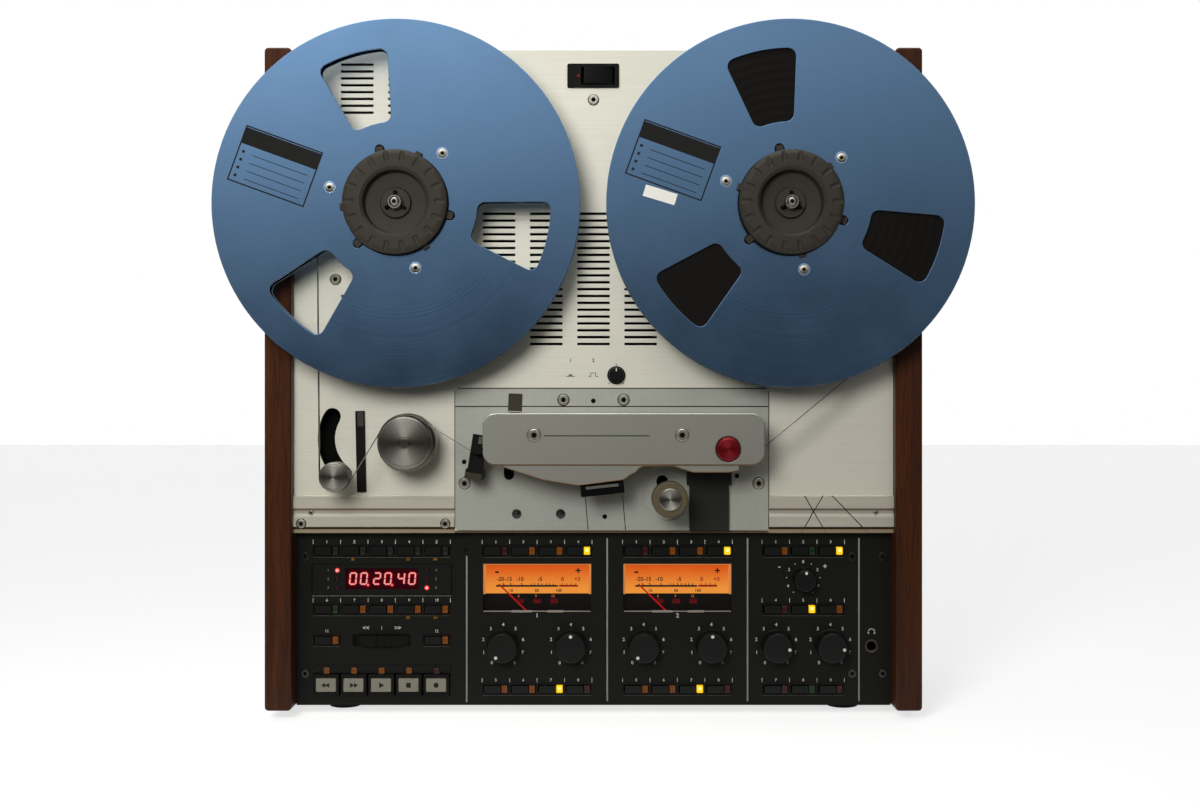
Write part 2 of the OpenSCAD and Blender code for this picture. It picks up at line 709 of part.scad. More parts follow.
module control_panel() {
    tray_w = (left_count - 1) * key_pitch + transport_w + 2 * fit_gap;
    wheel_slot_h = shuttle_t + 2 * fit_gap;
    color([0.1, 0.1, 0.09]) difference() {
        slab(panel_back, panel_face) difference() {
            translate([-half_w, panel_z0]) square([deck_w, panel_h]);
            key_slots(left_keys());
            for (n = [0, 1]) key_slots(channel_keys(n));
            key_slots(right_keys());
            translate([left_cx, row_transport]) square([tray_w, transport_h + 2 * fit_gap], center = true);
            for (at = transport_keys()) translate([at.x, row_transport_lamp])
                square([lamp_w + 2 * running_gap, lamp_w + 2 * running_gap], center = true);
            translate([left_cx, row_counter]) square([counter_w, counter_h], center = true);
            for (x = channel_cx) translate([x, row_meter]) square([meter_w, meter_h], center = true);
            for (at = panel_knobs) translate(at) circle(knob_shaft_r + fit_gap);
            translate(jack_at) circle(jack_r + jack_gap);
        }
        translate([left_cx, plate_y - shuttle_d, row_c - wheel_slot_h / 2])
            cylinder(r = shuttle_r + shuttle_slot_gap, h = wheel_slot_h);
    }
}

// Upright pin that the rocker turns on, grown by a gap where it makes its own hole
module rocker_pin(gap) {
    length = rocker_pin_l + 2 * gap;
    translate([rocker_x, plate_y + rocker_pin_d, switch_at.y - length / 2])
        cylinder(r = rocker_pin_r + gap, h = length);
}

module power_switch_bezel() {
    color([0.1, 0.1, 0.1]) difference() {
        union() {
            plate_at(switch_at, switch_w, switch_h, 1.5, 0, 1.6);
            plate_at(switch_at, switch_body.x - 2 * running_gap, switch_body.y - 2 * running_gap, 1,
                rim_back, 0);
        }
        slab(rim_back + 1.5, 2 * cut + 1.6) translate([rocker_x, switch_at.y])
            square([rocker_w + 3.2, rocker_h + 2 * fit_gap], center = true);
        rocker_pin(running_gap / 2);
    }
}

lens_t = 1.6;
module panel_windows() {
    color([0.75, 0.75, 0.75, 0.4]) {
        for (x = channel_cx)
            plate_at([x, row_meter], meter_w, meter_h, 1, panel_face - lens_t, panel_face + 0.6);
        plate_at([left_cx, row_counter], counter_w, counter_h, 0.6, panel_face - lens_t, panel_face);
    }
}

// Meter cases with a dial, a pivot pin, and a raised black plate on the lower part of the dial
module vu_meters() {
    case_w = meter_w + 3;
    case_h = meter_h + 20;
    case_z = row_meter - 9;
    case_wall = 1;
    mask_top = row_meter - 5.4;
    mask_t = 1.4;
    dial_face = needle_depth - 3;
    color([0.8, 0.4, 0.15]) for (n = [0, 1]) {
        difference() {
            slab(panel_back - meter_depth, panel_back)
                translate([channel_cx[n], case_z]) square([case_w, case_h], center = true);
            slab(dial_face, panel_back + cut) translate([channel_cx[n], case_z])
                square([case_w - 2 * case_wall, case_h - 2 * case_wall], center = true);
        }
        slab(dial_face, dial_face + mask_t) translate([channel_cx[n] - case_w / 2, case_z - case_h / 2])
            square([case_w, mask_top - case_z + case_h / 2]);
        rod(needle_pivots[n], needle_pin_r, dial_face, needle_depth + 2);
    }
}

module key_lamps() {
    color([0.75, 0.45, 0.12]) {
        for (at = concat(left_keys(), channel_keys(0), channel_keys(1), right_keys()))
            plate_at([at.x + lamp_shift, at.y], lamp_w, key_h, 0.4, panel_back, panel_face + 1.6);
        for (at = transport_keys())
            plate_at([at.x, row_transport_lamp], lamp_w, lamp_w, 0.4, panel_back, panel_face + 1.2);
    }
}

module phones_jack() {
    color([0.3, 0.3, 0.28]) difference() {
        union() {
            rod(jack_at, jack_r, panel_back, panel_face + 0.4);
            slab(panel_back - 22, panel_back) translate(jack_at) square([14, 16], center = true);
        }
        rod(jack_at, jack_bore / 2, panel_back - 20, panel_face + cut);
    }
}

// Tape

// One edge of the tape along its whole path
function tape_edge(offset) = [for (k = [0 : tape_last]) each
    let (a0 = k == 0 ? heading(0) : heading(k - 1), a1 = k == tape_last ? heading(k - 1) : heading(k),
        steps = k == 0 || k == tape_last ? 0 : 8)
    [for (i = [0 : steps]) side_point(k, steps == 0 ? a0 : a0 + (a1 - a0) * i / steps, offset)]];
function reversed(list) = [for (k = [len(list) - 1 : -1 : 0]) list[k]];

module tape_spans() {
    color([0.15, 0.1, 0.08]) slab(tape_plane - tape_w / 2, tape_plane + tape_w / 2)
        polygon(concat(tape_edge(tape_t / 2), reversed(tape_edge(-tape_t / 2))));
}

// Inside

motor_r = 42;
motor_l = 72;
shaft_end = subplate_back - 30;
module drive_motors() {
    color([0.45, 0.45, 0.45]) for (at = [supply_hub, takeup_hub, capstan_at]) difference() {
        union() {
            rod(at, motor_r, subplate_back - motor_l, subplate_back - 6);
            for (turn = [45 : 90 : 315]) rod(at + motor_r * 0.8 * [cos(turn), sin(turn)], 4,
                subplate_back - 6, subplate_back);
        }
        rod(at, spindle_d / 2 + fit_gap, shaft_end - 2, subplate_back + cut);
    }
}

module spindle_bearings() {
    color([0.7, 0.55, 0.25]) for (at = [supply_hub, takeup_hub, capstan_at]) difference() {
        rod(at, bearing_r, subplate_back, subplate_front + 6);
        rod(at, spindle_d / 2 + running_gap, subplate_back - cut, subplate_front + 6 + cut);
    }
}

transformer_at = [-150, body_depth - 65];
transformer_size = [90, 80, 70];
transformer_core_t = 34;
transformer_limb = 14;
module power_transformer() {
    size = transformer_size;
    floor_z = foot_h + steel_t;
    color([0.35, 0.3, 0.25]) translate([transformer_at.x, plate_y + transformer_at.y, floor_z]) {
        translate([-size.x / 2, -transformer_core_t / 2, 0]) cube([size.x, transformer_core_t, size.z]);
        translate([-size.x / 2 + transformer_limb, -size.y / 2, transformer_limb])
            cube([size.x - 2 * transformer_limb, size.y, size.z - 2 * transformer_limb]);
    }
}

card_t = 1.6;
plug_card = [card_t, 110, 105];
plug_card_pitch = 35;
card_chip = [9, 18, 60];
control_card = shuttle_d - shuttle_r - 4;
module circuit_cards() {
    floor_z = foot_h + steel_t;
    color([0.1, 0.35, 0.2]) {
        // Card behind the control panel, with the shuttle axle and the pots' bodies on it
        slab(control_card, control_card + card_t) translate([-half_w + 12, floor_z])
            square([deck_w - 24, panel_h - 16]);
        for (at = panel_knobs) difference() {
            rod(at, 8, control_card + card_t, panel_back - meter_depth - 1);
            rod(at, knob_shaft_r + fit_gap, panel_back - 40, panel_back - meter_depth);
        }
        slab(control_card + card_t, panel_back - 30) translate([left_cx, row_counter])
            square([counter_w, counter_h], center = true);
        translate([left_cx, plate_y - shuttle_d, row_c - shuttle_t / 2 - 6])
            cylinder(r = shuttle_axle_r, h = shuttle_t + 12);
        for (end = [-1, 1])
            translate([left_cx - 5, plate_y - shuttle_d - 4, row_c + end * (shuttle_t / 2 + 4) - 2])
                cube([10, 4 + shuttle_d - control_card, 4]);
        // Plug-in cards standing on the floor of the chassis
        for (k = [0 : 4]) translate([20 + k * plug_card_pitch, plate_y + 95, floor_z]) {
            cube(plug_card);
            for (row = [0 : 2]) translate([card_t, 14 + row * 32, 20]) cube(card_chip);
        }
    }
}

connector_l = 22;
connector_gap = 0.2;
connector_wall = 3;
module rear_connectors() {
    back = rear_face - steel_t - 1;
    front = rear_face + connector_l;
    gap = 2 * connector_gap;
    color([0.15, 0.15, 0.15]) {
        for (x = connector_x) difference() {
            rod([x, connector_z], connector_r - connector_gap, back, front);
            rod([x, connector_z], connector_r - connector_wall, back - cut, front - 6);
        }
        difference() {
            plate_at(inlet_at, inlet_w - gap, inlet_h - gap, 3, back, front);
            plate_at([inlet_at.x, inlet_at.y + 8], inlet_w - 2 * connector_wall, 18, 2,
                back - cut, front - 5);
        }
        plate_at(socket_at, socket_w - gap, socket_h - gap, 2, back, front);
    }
}

// Reels and their drives

turntable_r = hub_d / 2 - 2;
tip_r = 4;
module turntable(at) {
    shaft_r = spindle_d / 2;
    tip_end = adapter_front - 0.6;
    color([0.6, 0.6, 0.6]) turned(at, [[0, shaft_end], [shaft_r, shaft_end], [shaft_r, 16], [20, 18],
        [turntable_r - 1, reel_back - 6], [turntable_r, reel_back - 5], [turntable_r, reel_back],
        [tip_r, reel_back], [tip_r, tip_end - 2], [tip_r - 1.5, tip_end], [0, tip_end]]);
}

module supply_turntable() {
    turntable(supply_hub);
}

module takeup_turntable() {
    turntable(takeup_hub);
}

hub_hole_r = hub_hole_d / 2;
window_r0 = hub_d / 2 + 2;
window_r1 = reel_r - window_rim;
notch_w = 6.8;
notch_reach = hub_hole_r + 5.7;
// Two thin flanges on a hub, with three windows and three driving notches
module reel(at, angle) {
    hub_r = hub_d / 2;
    inner_back = reel_back + flange_t;
    inner_front = reel_front - flange_t;
    color([0.28, 0.42, 0.59]) difference() {
        turned(at, [[hub_hole_r, reel_back], [reel_r, reel_back], [reel_r, inner_back], [hub_r, inner_back],
            [hub_r, inner_front], [reel_r, inner_front], [reel_r, reel_front], [hub_hole_r, reel_front]]);
        for (k = [0 : 2]) slab(reel_back - cut, reel_front + cut) translate(at) rotate(angle + 120 * k) {
            polygon(round_sector(window_r0, window_r1, window_half, window_r));
            polygon(concat([[hub_hole_r - 4, -notch_w / 2]],
                arc([notch_reach - notch_w / 2, 0], notch_w / 2, -90, 90, corner_steps),
                [[hub_hole_r - 4, notch_w / 2]]));
        }
    }
}

module supply_reel() {
    reel(supply_hub, supply_angle);
}

module takeup_reel() {
    reel(takeup_hub, takeup_angle);
}

adapter_r = hub_hole_r - 0.5;
adapter_rim_r = 25;
boss_r = 10.6;
groove_count = 18;
// Dished plug that centres the reel: a grooved ring, a sunk middle and six lugs
module hub_adapter(at, angle, small_angle) {
    floor_d = adapter_front - 11;
    bore = tip_r + running_gap;
    rim = adapter_rim_r;
    color([0.24, 0.23, 0.2]) difference() {
        union() {
            turned(at, [[bore, reel_back], [adapter_r, reel_back], [adapter_r, adapter_front - 3],
                [adapter_r - 2, adapter_front - 0.6], [adapter_r - 4, adapter_front], [rim, adapter_front],
                [rim - 2, adapter_front - 2], [rim - 3, floor_d], [boss_r + 1, floor_d - 1],
                [boss_r, floor_d + 2], [bore, floor_d + 2]]);
            for (k = [0 : 2]) {
                slab(reel_back, reel_front + 1.5) translate(at) rotate(angle + 120 * k)
                    translate([adapter_r - 3, -2.6]) square([notch_reach - adapter_r + 1.6, 5.2]);
                slab(reel_front, reel_front + 3) translate(at) rotate(small_angle + 120 * k)
                    translate([adapter_r - 3, -2.4]) square([5.6, 4.8]);
            }
        }
        for (k = [0 : groove_count - 1]) slab(adapter_front - 1.2, adapter_front + cut) translate(at)
            rotate((k + 0.5) * 360 / groove_count) translate([adapter_r - 8, -1.3]) square([9, 2.6]);
    }
}

module supply_hub_adapter() {
    hub_adapter(supply_hub, supply_angle, 64.5);
}

module takeup_hub_adapter() {
    hub_adapter(takeup_hub, takeup_angle, 43);
}

// The wound tape, with shallow steps where the winding changed
module takeup_tape_pack() {
    low = tape_plane - tape_w / 2;
    high = tape_plane + tape_w / 2;
    span = pack_r - hub_d / 2;
    color([0.16, 0.11, 0.09]) turned(takeup_hub, concat(
        [[hub_d / 2, low], [pack_r, low], [pack_r, high]],
        [for (k = [4 : -1 : 1]) each [[hub_d / 2 + span * k / 5, high - 0.2 * (k % 2)],
            [hub_d / 2 + span * k / 5, high - 0.2 * ((k + 1) % 2)]]],
        [[hub_d / 2, high]]));
}

// Tape path pieces

arm_back = subplate_front + 1;
arm_front = -plate_t - 2;
module swing_arm(pivot, at, r) {
    reach = at - pivot;
    slab(arm_back, arm_front) {
        translate(pivot) circle(r);
        translate(at) circle(r);
        translate(pivot) rotate(atan2(reach.y, reach.x)) translate([0, 1 - r])
            square([norm(reach), 2 * r - 2]);
    }
}

roller_back = tape_plane - roller_half;
roller_front = tape_plane + roller_half;
module tension_arm() {
    color([0.55, 0.55, 0.53]) {
        swing_arm(tension_pivot, tension_at, post_r + 2);
        rod(tension_pivot, post_r, subplate_back, arm_back);
        rod(tension_at, post_r, arm_front, roller_back - 4);
        rod(tension_at, roller_pin_r, roller_back - 4, roller_front);
    }
}

module tension_roller() {
    bore = roller_pin_r + running_gap;
    color([0.72, 0.72, 0.7]) turned(tension_at, [[bore, roller_back - 3], [tension_r - 1, roller_back - 3],
        [tension_r, roller_back - 2], [tension_r, roller_front - 1], [tension_r - 1, roller_front],
        [bore, roller_front]]);
}

module guide_roller() {
    bore = post_r + running_gap;
    lip = 1.8;
    color([0.72, 0.72, 0.7]) turned(guide_at, [[bore, tape_plane - 19], [guide_r + lip, tape_plane - 19],
        [guide_r + lip, tape_plane - 5], [guide_r, tape_plane - 4], [guide_r, roller_front - 1.5],
        [guide_r - 1.5, roller_front], [bore, roller_front]]);
}

module pinch_arm() {
    color([0.5, 0.5, 0.48]) {
        swing_arm(pinch_pivot, pinch_at, post_r + 2);
        rod(pinch_pivot, post_r, subplate_back, arm_back);
        rod(pinch_at, roller_pin_r, arm_front, roller_front);
    }
}

module pinch_roller() {
    bore = roller_pin_r + running_gap;
    color([0.3, 0.28, 0.22]) turned(pinch_at, [[bore, roller_back - 1], [pinch_r - 1, roller_back - 1],
        [pinch_r, roller_back], [pinch_r, roller_front - 1], [pinch_r - 1, roller_front], [8, roller_front],
        [7.5, roller_front + 0.8], [bore, roller_front + 0.8]]);
}

module capstan() {
    color([0.75, 0.75, 0.74]) turned(capstan_at, [[0, shaft_end], [spindle_d / 2, shaft_end],
        [spindle_d / 2, subplate_front + 7], [capstan_r, subplate_front + 8], [capstan_r, tape_plane + 5],
        [capstan_r - 1, tape_plane + 6], [0, tape_plane + 6]]);
}

// Flap that swings up to screen the playback head, with its finger bar
module hum_shield() {
    wide = shield_x[1] - shield_x[0];
    middle = (shield_x[0] + shield_x[1]) / 2;
    color([0.5, 0.5, 0.48]) {
        slab(shield_hinge_d, shield_reach) translate([middle, shield_z])
            square([wide - 2 * shield_pin_l, 3], center = true);
        slab(shield_reach - 6, shield_reach) translate([middle, shield_z + 0.9]) rotate(shield_bar_lean)
            square([wide, shield_bar_h], center = true);
        translate([shield_x[0] + shield_pin_l, plate_y - shield_hinge_d, shield_z]) rotate([0, 90, 0])
            cylinder(r = 3, h = wide - 2 * shield_pin_l);
        for (x = [shield_x[0], shield_x[1] - shield_pin_l])
            translate([x, plate_y - shield_hinge_d, shield_z]) rotate([0, 90, 0])
                cylinder(r = shield_pin_r, h = shield_pin_l);
    }
}

cue_depth = 5;
cue_rise = 3.2;
module cue_button() {
    r = cue_d / 2;
    back = head_cover_front - cue_depth;
    front = head_cover_front + cue_rise;
    color([0.65, 0.1, 0.12]) turned(cue_at, [[0, back], [r, back], [r, front - 1], [r - 1.2, front],
        [0, front + 0.4]]);
}

// Rocker about an upright pin, resting on its left side
module power_rocker() {
    half = rocker_w / 2;
    color([0.13, 0.13, 0.13]) {
        translate([rocker_x, plate_y + rocker_pin_d, switch_at.y]) rotate([0, 0, rocker_tilt])
            translate([0, 0, -rocker_h / 2]) linear_extrude(rocker_h)
                polygon([[-half, -2.6], [0, -4.2], [half, -2.6], [half - 1, 2.5], [0, 4], [1 - half, 2.5]]);
        rocker_pin(0);
    }
}

module knob(at, r, h, seat, shaft_back) {
    top = seat + h;
    skirt_r = r + 1;
    turned(at, [[0, shaft_back], [knob_shaft_r, shaft_back], [knob_shaft_r, seat + fit_gap],
        [skirt_r, seat + fit_gap], [skirt_r, seat + 2], [r, seat + 2.6], [r - 0.4, top - 1], [r - 1.2, top],
        [0, top]]);
}

module panel_knob(at, r, h) {
    color([0.08, 0.08, 0.08]) knob(at, r, h, panel_face, panel_back - meter_depth - 8);
}

module mic_knob_1() {
    panel_knob(mic_1_at, knob_r, knob_h);
}

module line_knob_1() {
    panel_knob(line_1_at, knob_r, knob_h);
}

module mic_knob_2() {
    panel_knob(mic_2_at, knob_r, knob_h);
}

module line_knob_2() {
    panel_knob(line_2_at, knob_r, knob_h);
}

module deviation_knob() {
    panel_knob(deviation_at, small_knob_r, knob_h);
}

module repro_knob_1() {
    panel_knob(repro_1_at, knob_r, knob_h);
}

module repro_knob_2() {
    panel_knob(repro_2_at, knob_r, knob_h);
}

module volume_knob() {
    color([0.08, 0.08, 0.08]) knob(volume_at, volume_r, 8, 0, subplate_front + 1);
}

// A fine blade on a small hub, leaning left at rest
module vu_needle(pivot) {
    color([0.1, 0.1, 0.1]) difference() {
        slab(needle_depth, needle_depth + 0.8) translate(pivot) rotate(needle_rest) {
            translate([-needle_w / 2, -8]) square([needle_w, needle_l + 8]);
            circle(3);
        }
        rod(pivot, needle_pin_r + running_gap, needle_depth - cut, needle_depth + 2 * cut);
    }
}

module vu_needle_1() {
    vu_needle(needle_pivots[0]);
}

module vu_needle_2() {
    vu_needle(needle_pivots[1]);
}

// Thumb wheel on an upright axle, with a dimple at the front
module shuttle_wheel() {
    color([0.08, 0.08, 0.08]) translate([left_cx, plate_y - shuttle_d, row_c - shuttle_t / 2]) difference() {
        cylinder(r = shuttle_r, h = shuttle_t);
        translate([0, 0, -cut]) cylinder(r = shuttle_axle_r + running_gap, h = shuttle_t + 2 * cut);
        translate([0, -shuttle_r - 1.5, -cut]) cylinder(r = 4, h = shuttle_t + 2 * cut);
    }
}

transport_rise = transport_stroke + key_proud + 0.3;
cap_margin = 2.2;
module transport_key(n) {
    at = transport_keys()[n];
    color([0.64, 0.64, 0.58]) {
        plate_at(at, transport_w, transport_h, 0.8, panel_back - 3, panel_face + transport_rise - 1.2);
        plate_at(at, transport_w - 2 * cap_margin, transport_h - 2.7 * cap_margin, 0.8,
            panel_face + transport_rise - 1.2, panel_face + transport_rise);
    }
}

module rewind_key() {
    transport_key(0);
}

module forward_key() {
    transport_key(1);
}

module play_key() {
    transport_key(2);
}

module stop_key() {
    transport_key(3);
}

module record_key() {
    transport_key(4);
}

module small_keys(keys) {
    color([0.14, 0.14, 0.13]) for (at = keys)
        plate_at([at.x + key_shift, at.y], key_w - running_gap, key_h, 0.5, panel_back - 2,
            panel_face + key_stroke + key_proud);
}

module locator_keys() {
    small_keys(left_keys());
}

module channel_1_keys() {
    small_keys(channel_keys(0));
}

module channel_2_keys() {
    small_keys(channel_keys(1));
}

module output_keys() {
    small_keys(right_keys());
}

side_panel_left();
side_panel_right();
chassis();
rear_cover();
feet();
deck_plate();
splicing_rails();
head_block_plate();
head_cover();
tape_heads();
tape_guides();
front_screws();
control_panel();
power_switch_bezel();
panel_windows();
vu_meters();
key_lamps();
phones_jack();
tape_spans();
drive_motors();
spindle_bearings();
power_transformer();
circuit_cards();
rear_connectors();
supply_turntable();
supply_reel();
supply_hub_adapter();
takeup_turntable();
takeup_reel();
takeup_hub_adapter();
takeup_tape_pack();
tension_arm();
tension_roller();
guide_roller();
pinch_arm();
pinch_roller();
capstan();
hum_shield();
cue_button();
power_rocker();
volume_knob();
mic_knob_1();
line_knob_1();
mic_knob_2();
line_knob_2();
deviation_knob();
repro_knob_1();
repro_knob_2();
vu_needle_1();
vu_needle_2();
shuttle_wheel();
rewind_key();
forward_key();
play_key();
stop_key();
record_key();
locator_keys();
channel_1_keys();
channel_2_keys();
output_keys();
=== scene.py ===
"""Looks of a reel-to-reel tape recorder: eased edges, finishes, print, lamps and tape around its solids."""
import json
import math
from contextlib import contextmanager

import bmesh
import bpy
from mathutils import Matrix, Vector


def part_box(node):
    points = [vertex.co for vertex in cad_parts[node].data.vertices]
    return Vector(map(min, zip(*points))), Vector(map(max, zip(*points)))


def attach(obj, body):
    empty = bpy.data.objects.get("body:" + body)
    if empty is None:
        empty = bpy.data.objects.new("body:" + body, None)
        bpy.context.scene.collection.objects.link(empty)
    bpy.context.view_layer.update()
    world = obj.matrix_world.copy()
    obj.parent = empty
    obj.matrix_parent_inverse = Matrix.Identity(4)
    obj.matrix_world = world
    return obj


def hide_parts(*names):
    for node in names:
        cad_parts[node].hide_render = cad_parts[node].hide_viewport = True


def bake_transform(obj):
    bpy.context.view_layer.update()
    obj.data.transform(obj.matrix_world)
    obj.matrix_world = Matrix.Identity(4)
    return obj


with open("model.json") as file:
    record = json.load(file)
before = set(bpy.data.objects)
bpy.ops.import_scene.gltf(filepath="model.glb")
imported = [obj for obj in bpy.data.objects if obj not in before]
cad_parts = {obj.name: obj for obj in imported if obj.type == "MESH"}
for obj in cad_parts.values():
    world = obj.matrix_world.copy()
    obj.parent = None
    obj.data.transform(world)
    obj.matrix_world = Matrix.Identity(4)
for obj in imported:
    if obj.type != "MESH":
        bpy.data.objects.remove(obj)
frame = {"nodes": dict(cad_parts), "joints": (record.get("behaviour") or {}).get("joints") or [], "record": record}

bl_info = {
    "name": "Tape recorder finishes",
    "version": (1, 0, 0),
    "blender": (4, 5, 0),
    "location": "View3D > Sidebar > Tape recorder",
    "description": "Dresses the solids of a reel-to-reel tape recorder with finishes and fine pieces",
    "category": "Object",
}

# Values worked out from the frame

MM = 0.001
SHARP = math.radians(30)
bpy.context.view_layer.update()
JOINTS = {joint["name"]: joint for joint in frame["joints"]}
BODY_OF = {node: body for body, nodes in frame["record"]["behaviour"]["bodies"].items() for node in nodes}
DECK_LOW, DECK_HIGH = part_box("deck_plate")
_, PANEL_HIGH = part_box("control_panel")
PLATE_Y = DECK_LOW.y
DONE = {"FINISHED"}


def place(x, depth, z):
    """A point from millimetres: x, distance in front of the deck plate, and height."""
    return Vector((x * MM, PLATE_Y - depth * MM, z * MM))


def depth_of(y):
    """Distance in front of the deck plate, in millimetres."""
    return (PLATE_Y - y) / MM


def axis_of(joint):
    """Where a joint's axis passes, as x and z in millimetres."""
    x, _, z = JOINTS[joint]["pos_m"]
    return x / MM, z / MM


def middle_of(low, high):
    """The middle of a box, as x and z in millimetres."""
    return (low.x + high.x) / 2 / MM, (low.z + high.z) / 2 / MM


def front_of(node):
    """How far a node reaches in front of the deck plate, in millimetres."""
    return depth_of(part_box(node)[0].y)


def around(x, z, radius, angle):
    """A point on a circle, with the angle in degrees from the right and up."""
    turn = math.radians(angle)
    return x + radius * math.cos(turn), z + radius * math.sin(turn)


def srgb(red, green, blue):
    """The linear colour of a screen colour from 0 to 255."""
    parts = [value / 255 for value in (red, green, blue)]
    return tuple(p / 12.92 if p < 0.04045 else ((p + 0.055) / 1.055) ** 2.4 for p in parts)


SUPPLY_X, HUB_Z = axis_of("supply_spin")
TAKEUP_X, _ = axis_of("takeup_spin")
HUBS = {"supply": SUPPLY_X, "takeup": TAKEUP_X}
REEL_FRONT = front_of("supply_reel")
PANEL_D = front_of("control_panel")
HEAD_FACE = 3.0
COVER_FRONT = 50.0
TAPE_PLANE = 38.2
TAPE_W = 6.3


# Sizes and colours that a user would change


def colour(label, description, value):
    return bpy.props.FloatVectorProperty(name=label, description=description, default=value, size=3,
                                         min=0, max=1, subtype="COLOR")


def length(label, description, value):
    return bpy.props.FloatProperty(name=label, description=description, default=value, min=0,
                                   subtype="DISTANCE", unit="LENGTH", precision=5)


def power(label, description, value):
    return bpy.props.FloatProperty(name=label, description=description, default=value, min=0,
                                   subtype="POWER", unit="POWER")


class TapeColours(bpy.types.PropertyGroup):
    """Colours of the finishes."""

    walnut_dark: colour("Walnut, dark", "Dark streaks of the side boards", srgb(27, 12, 6))
    walnut_light: colour("Walnut, light", "Pale streaks of the side boards", srgb(80, 43, 22))
    deck: colour("Deck plate", "Brushed aluminium of the deck", srgb(232, 229, 212))
    head_plate: colour("Head block", "Plate under the heads", srgb(190, 192, 180))
    head_cover: colour("Head cover", "Painted cover over the heads", srgb(150, 150, 140))
    reel: colour("Reels", "Blue anodised flanges", srgb(112, 148, 186))
    adapter: colour("Hub adapters", "Dark plastic of the hub adapters", srgb(52, 48, 42))
    panel: colour("Control panel", "Black paint of the control panel", srgb(22, 22, 20))
    keys: colour("Keys", "Black plastic of keys and small pieces", srgb(22, 22, 20))
    caps: colour("Key caps", "Pale tops of the transport keys", srgb(140, 138, 122))
    tape: colour("Tape", "Coated side of the tape", srgb(58, 42, 34))
    pack: colour("Wound tape", "Edge of the wound tape", srgb(20, 18, 16))
    steel: colour("Bright steel", "Screws and pins", srgb(190, 188, 178))
    alloy: colour("Turned alloy", "Rollers", srgb(150, 148, 138))
    rubber: colour("Roller rubber", "Olive rubber of the pinch roller", srgb(86, 78, 58))
    red_mark: colour("Red mark", "Mark on the power switch", srgb(112, 16, 22))
    print_white: colour("White print", "Signs of the panel", srgb(205, 205, 190))
    print_amber: colour("Amber print", "Second signs of the panel", srgb(170, 112, 22))
    print_black: colour("Black print", "Signs of the deck", srgb(28, 28, 27))
    lamp_amber: colour("Amber lamp", "Lamp that is off", srgb(118, 64, 14))
    lamp_lit: colour("Lit lamp", "Lamp that is on", srgb(255, 196, 10))
    lamp_red: colour("Red lamp", "Lamp that is off", srgb(52, 13, 19))
    lamp_green: colour("Green lamp", "Lamp that is off", srgb(22, 44, 20))
    lamp_dark: colour("Dark lamp", "Lamp that is off", srgb(28, 28, 26))
    dial_top: colour("Dial, top", "Lit meter dial at its top", srgb(214, 84, 20))
    dial_low: colour("Dial, bottom", "Lit meter dial at its bottom", srgb(236, 148, 58))
    needle: colour("Needle", "Meter needles", srgb(200, 26, 26))
    digit: colour("Digits", "Lit digits of the counter", srgb(255, 196, 186))
    digit_glow: colour("Digit glow", "Glow round the digits", srgb(216, 10, 34))


class TapeSizes(bpy.types.PropertyGroup):
    """Sizes of the fine pieces."""

    board_edge: length("Board edge", "Rounding of the boards' edges", 1.8 * MM)
    key_edge: length("Key edge", "Rounding of the keys", 0.45 * MM)
    knob_edge: length("Knob edge", "Rounding of the knobs", 0.5 * MM)
    print_t: length("Print", "Thickness of printed marks", 0.06 * MM)
    dot_r: length("Knob dot", "Radius of the white dot on a knob", 1.25 * MM)
    label_w: length("Label width", "Width of the ruled label on a reel", 58.0 * MM)
    label_h: length("Label height", "Height of the ruled label on a reel", 41.0 * MM)
    digit_h: length("Digit height", "Height of the counter's digits", 9.4 * MM)


class TapeStage(bpy.types.PropertyGroup):
    """Camera and light."""

    distance: length("Camera distance", "From the camera to the deck plate", 1.15)
    side: length("Camera side", "How far to the right the camera stands", 0.0049)
    height: length("Camera height", "Height of the camera", 0.2393)
    lens: bpy.props.FloatProperty(name="Lens", description="Focal length in millimetres",
                                  default=45.92, min=1)
    key_power: power("Key lamp", "Power of the large lamp above", 4.1)
    fill_power: power("Fill lamp", "Power of the lamp at the side", 0.7)
    sky: bpy.props.FloatProperty(name="Room light", description="Strength of the light from all round",
                                 default=0.18, min=0, max=1, subtype="FACTOR")


def colours():
    return bpy.context.scene.tape_colours


def sizes():
    return bpy.context.scene.tape_sizes


# Shader groups shared by the finishes


def link(tree, source, target):
    tree.links.new(source, target)


def feed(tree, value, socket):
    """Sets a socket to a value, or links another socket to it."""
    if isinstance(value, (int, float, tuple)):
        socket.default_value = value
    else:
        link(tree, value, socket)


def new_group(name, inputs, outputs):
    """A shader group with named sockets and the object's own coordinates."""
    tree = bpy.data.node_groups.new(name, "ShaderNodeTree")
    for label, kind, value in inputs:
        tree.interface.new_socket(label, in_out="INPUT", socket_type=kind).default_value = value
    for label in outputs:
        tree.interface.new_socket(label, in_out="OUTPUT", socket_type="NodeSocketFloat")
    entry = tree.nodes.new("NodeGroupInput")
    leave = tree.nodes.new("NodeGroupOutput")
    return tree, entry.outputs, leave.inputs, object_coords(tree)


def object_coords(tree):
    return tree.nodes.new("ShaderNodeTexCoord").outputs["Object"]


def noise(tree, vector, scale, detail=3.0, roughness=0.55):
    node = tree.nodes.new("ShaderNodeTexNoise")
    node.inputs["Detail"].default_value = detail
    node.inputs["Roughness"].default_value = roughness
    link(tree, vector, node.inputs["Vector"])
    feed(tree, scale, node.inputs["Scale"])
    return node.outputs["Fac"]


def vector_math(tree, operation, first, second):
    node = tree.nodes.new("ShaderNodeVectorMath")
    node.operation = operation
    link(tree, first, node.inputs[0])
    feed(tree, second, node.inputs[1])
    return node.outputs["Value" if operation == "LENGTH" else "Vector"]


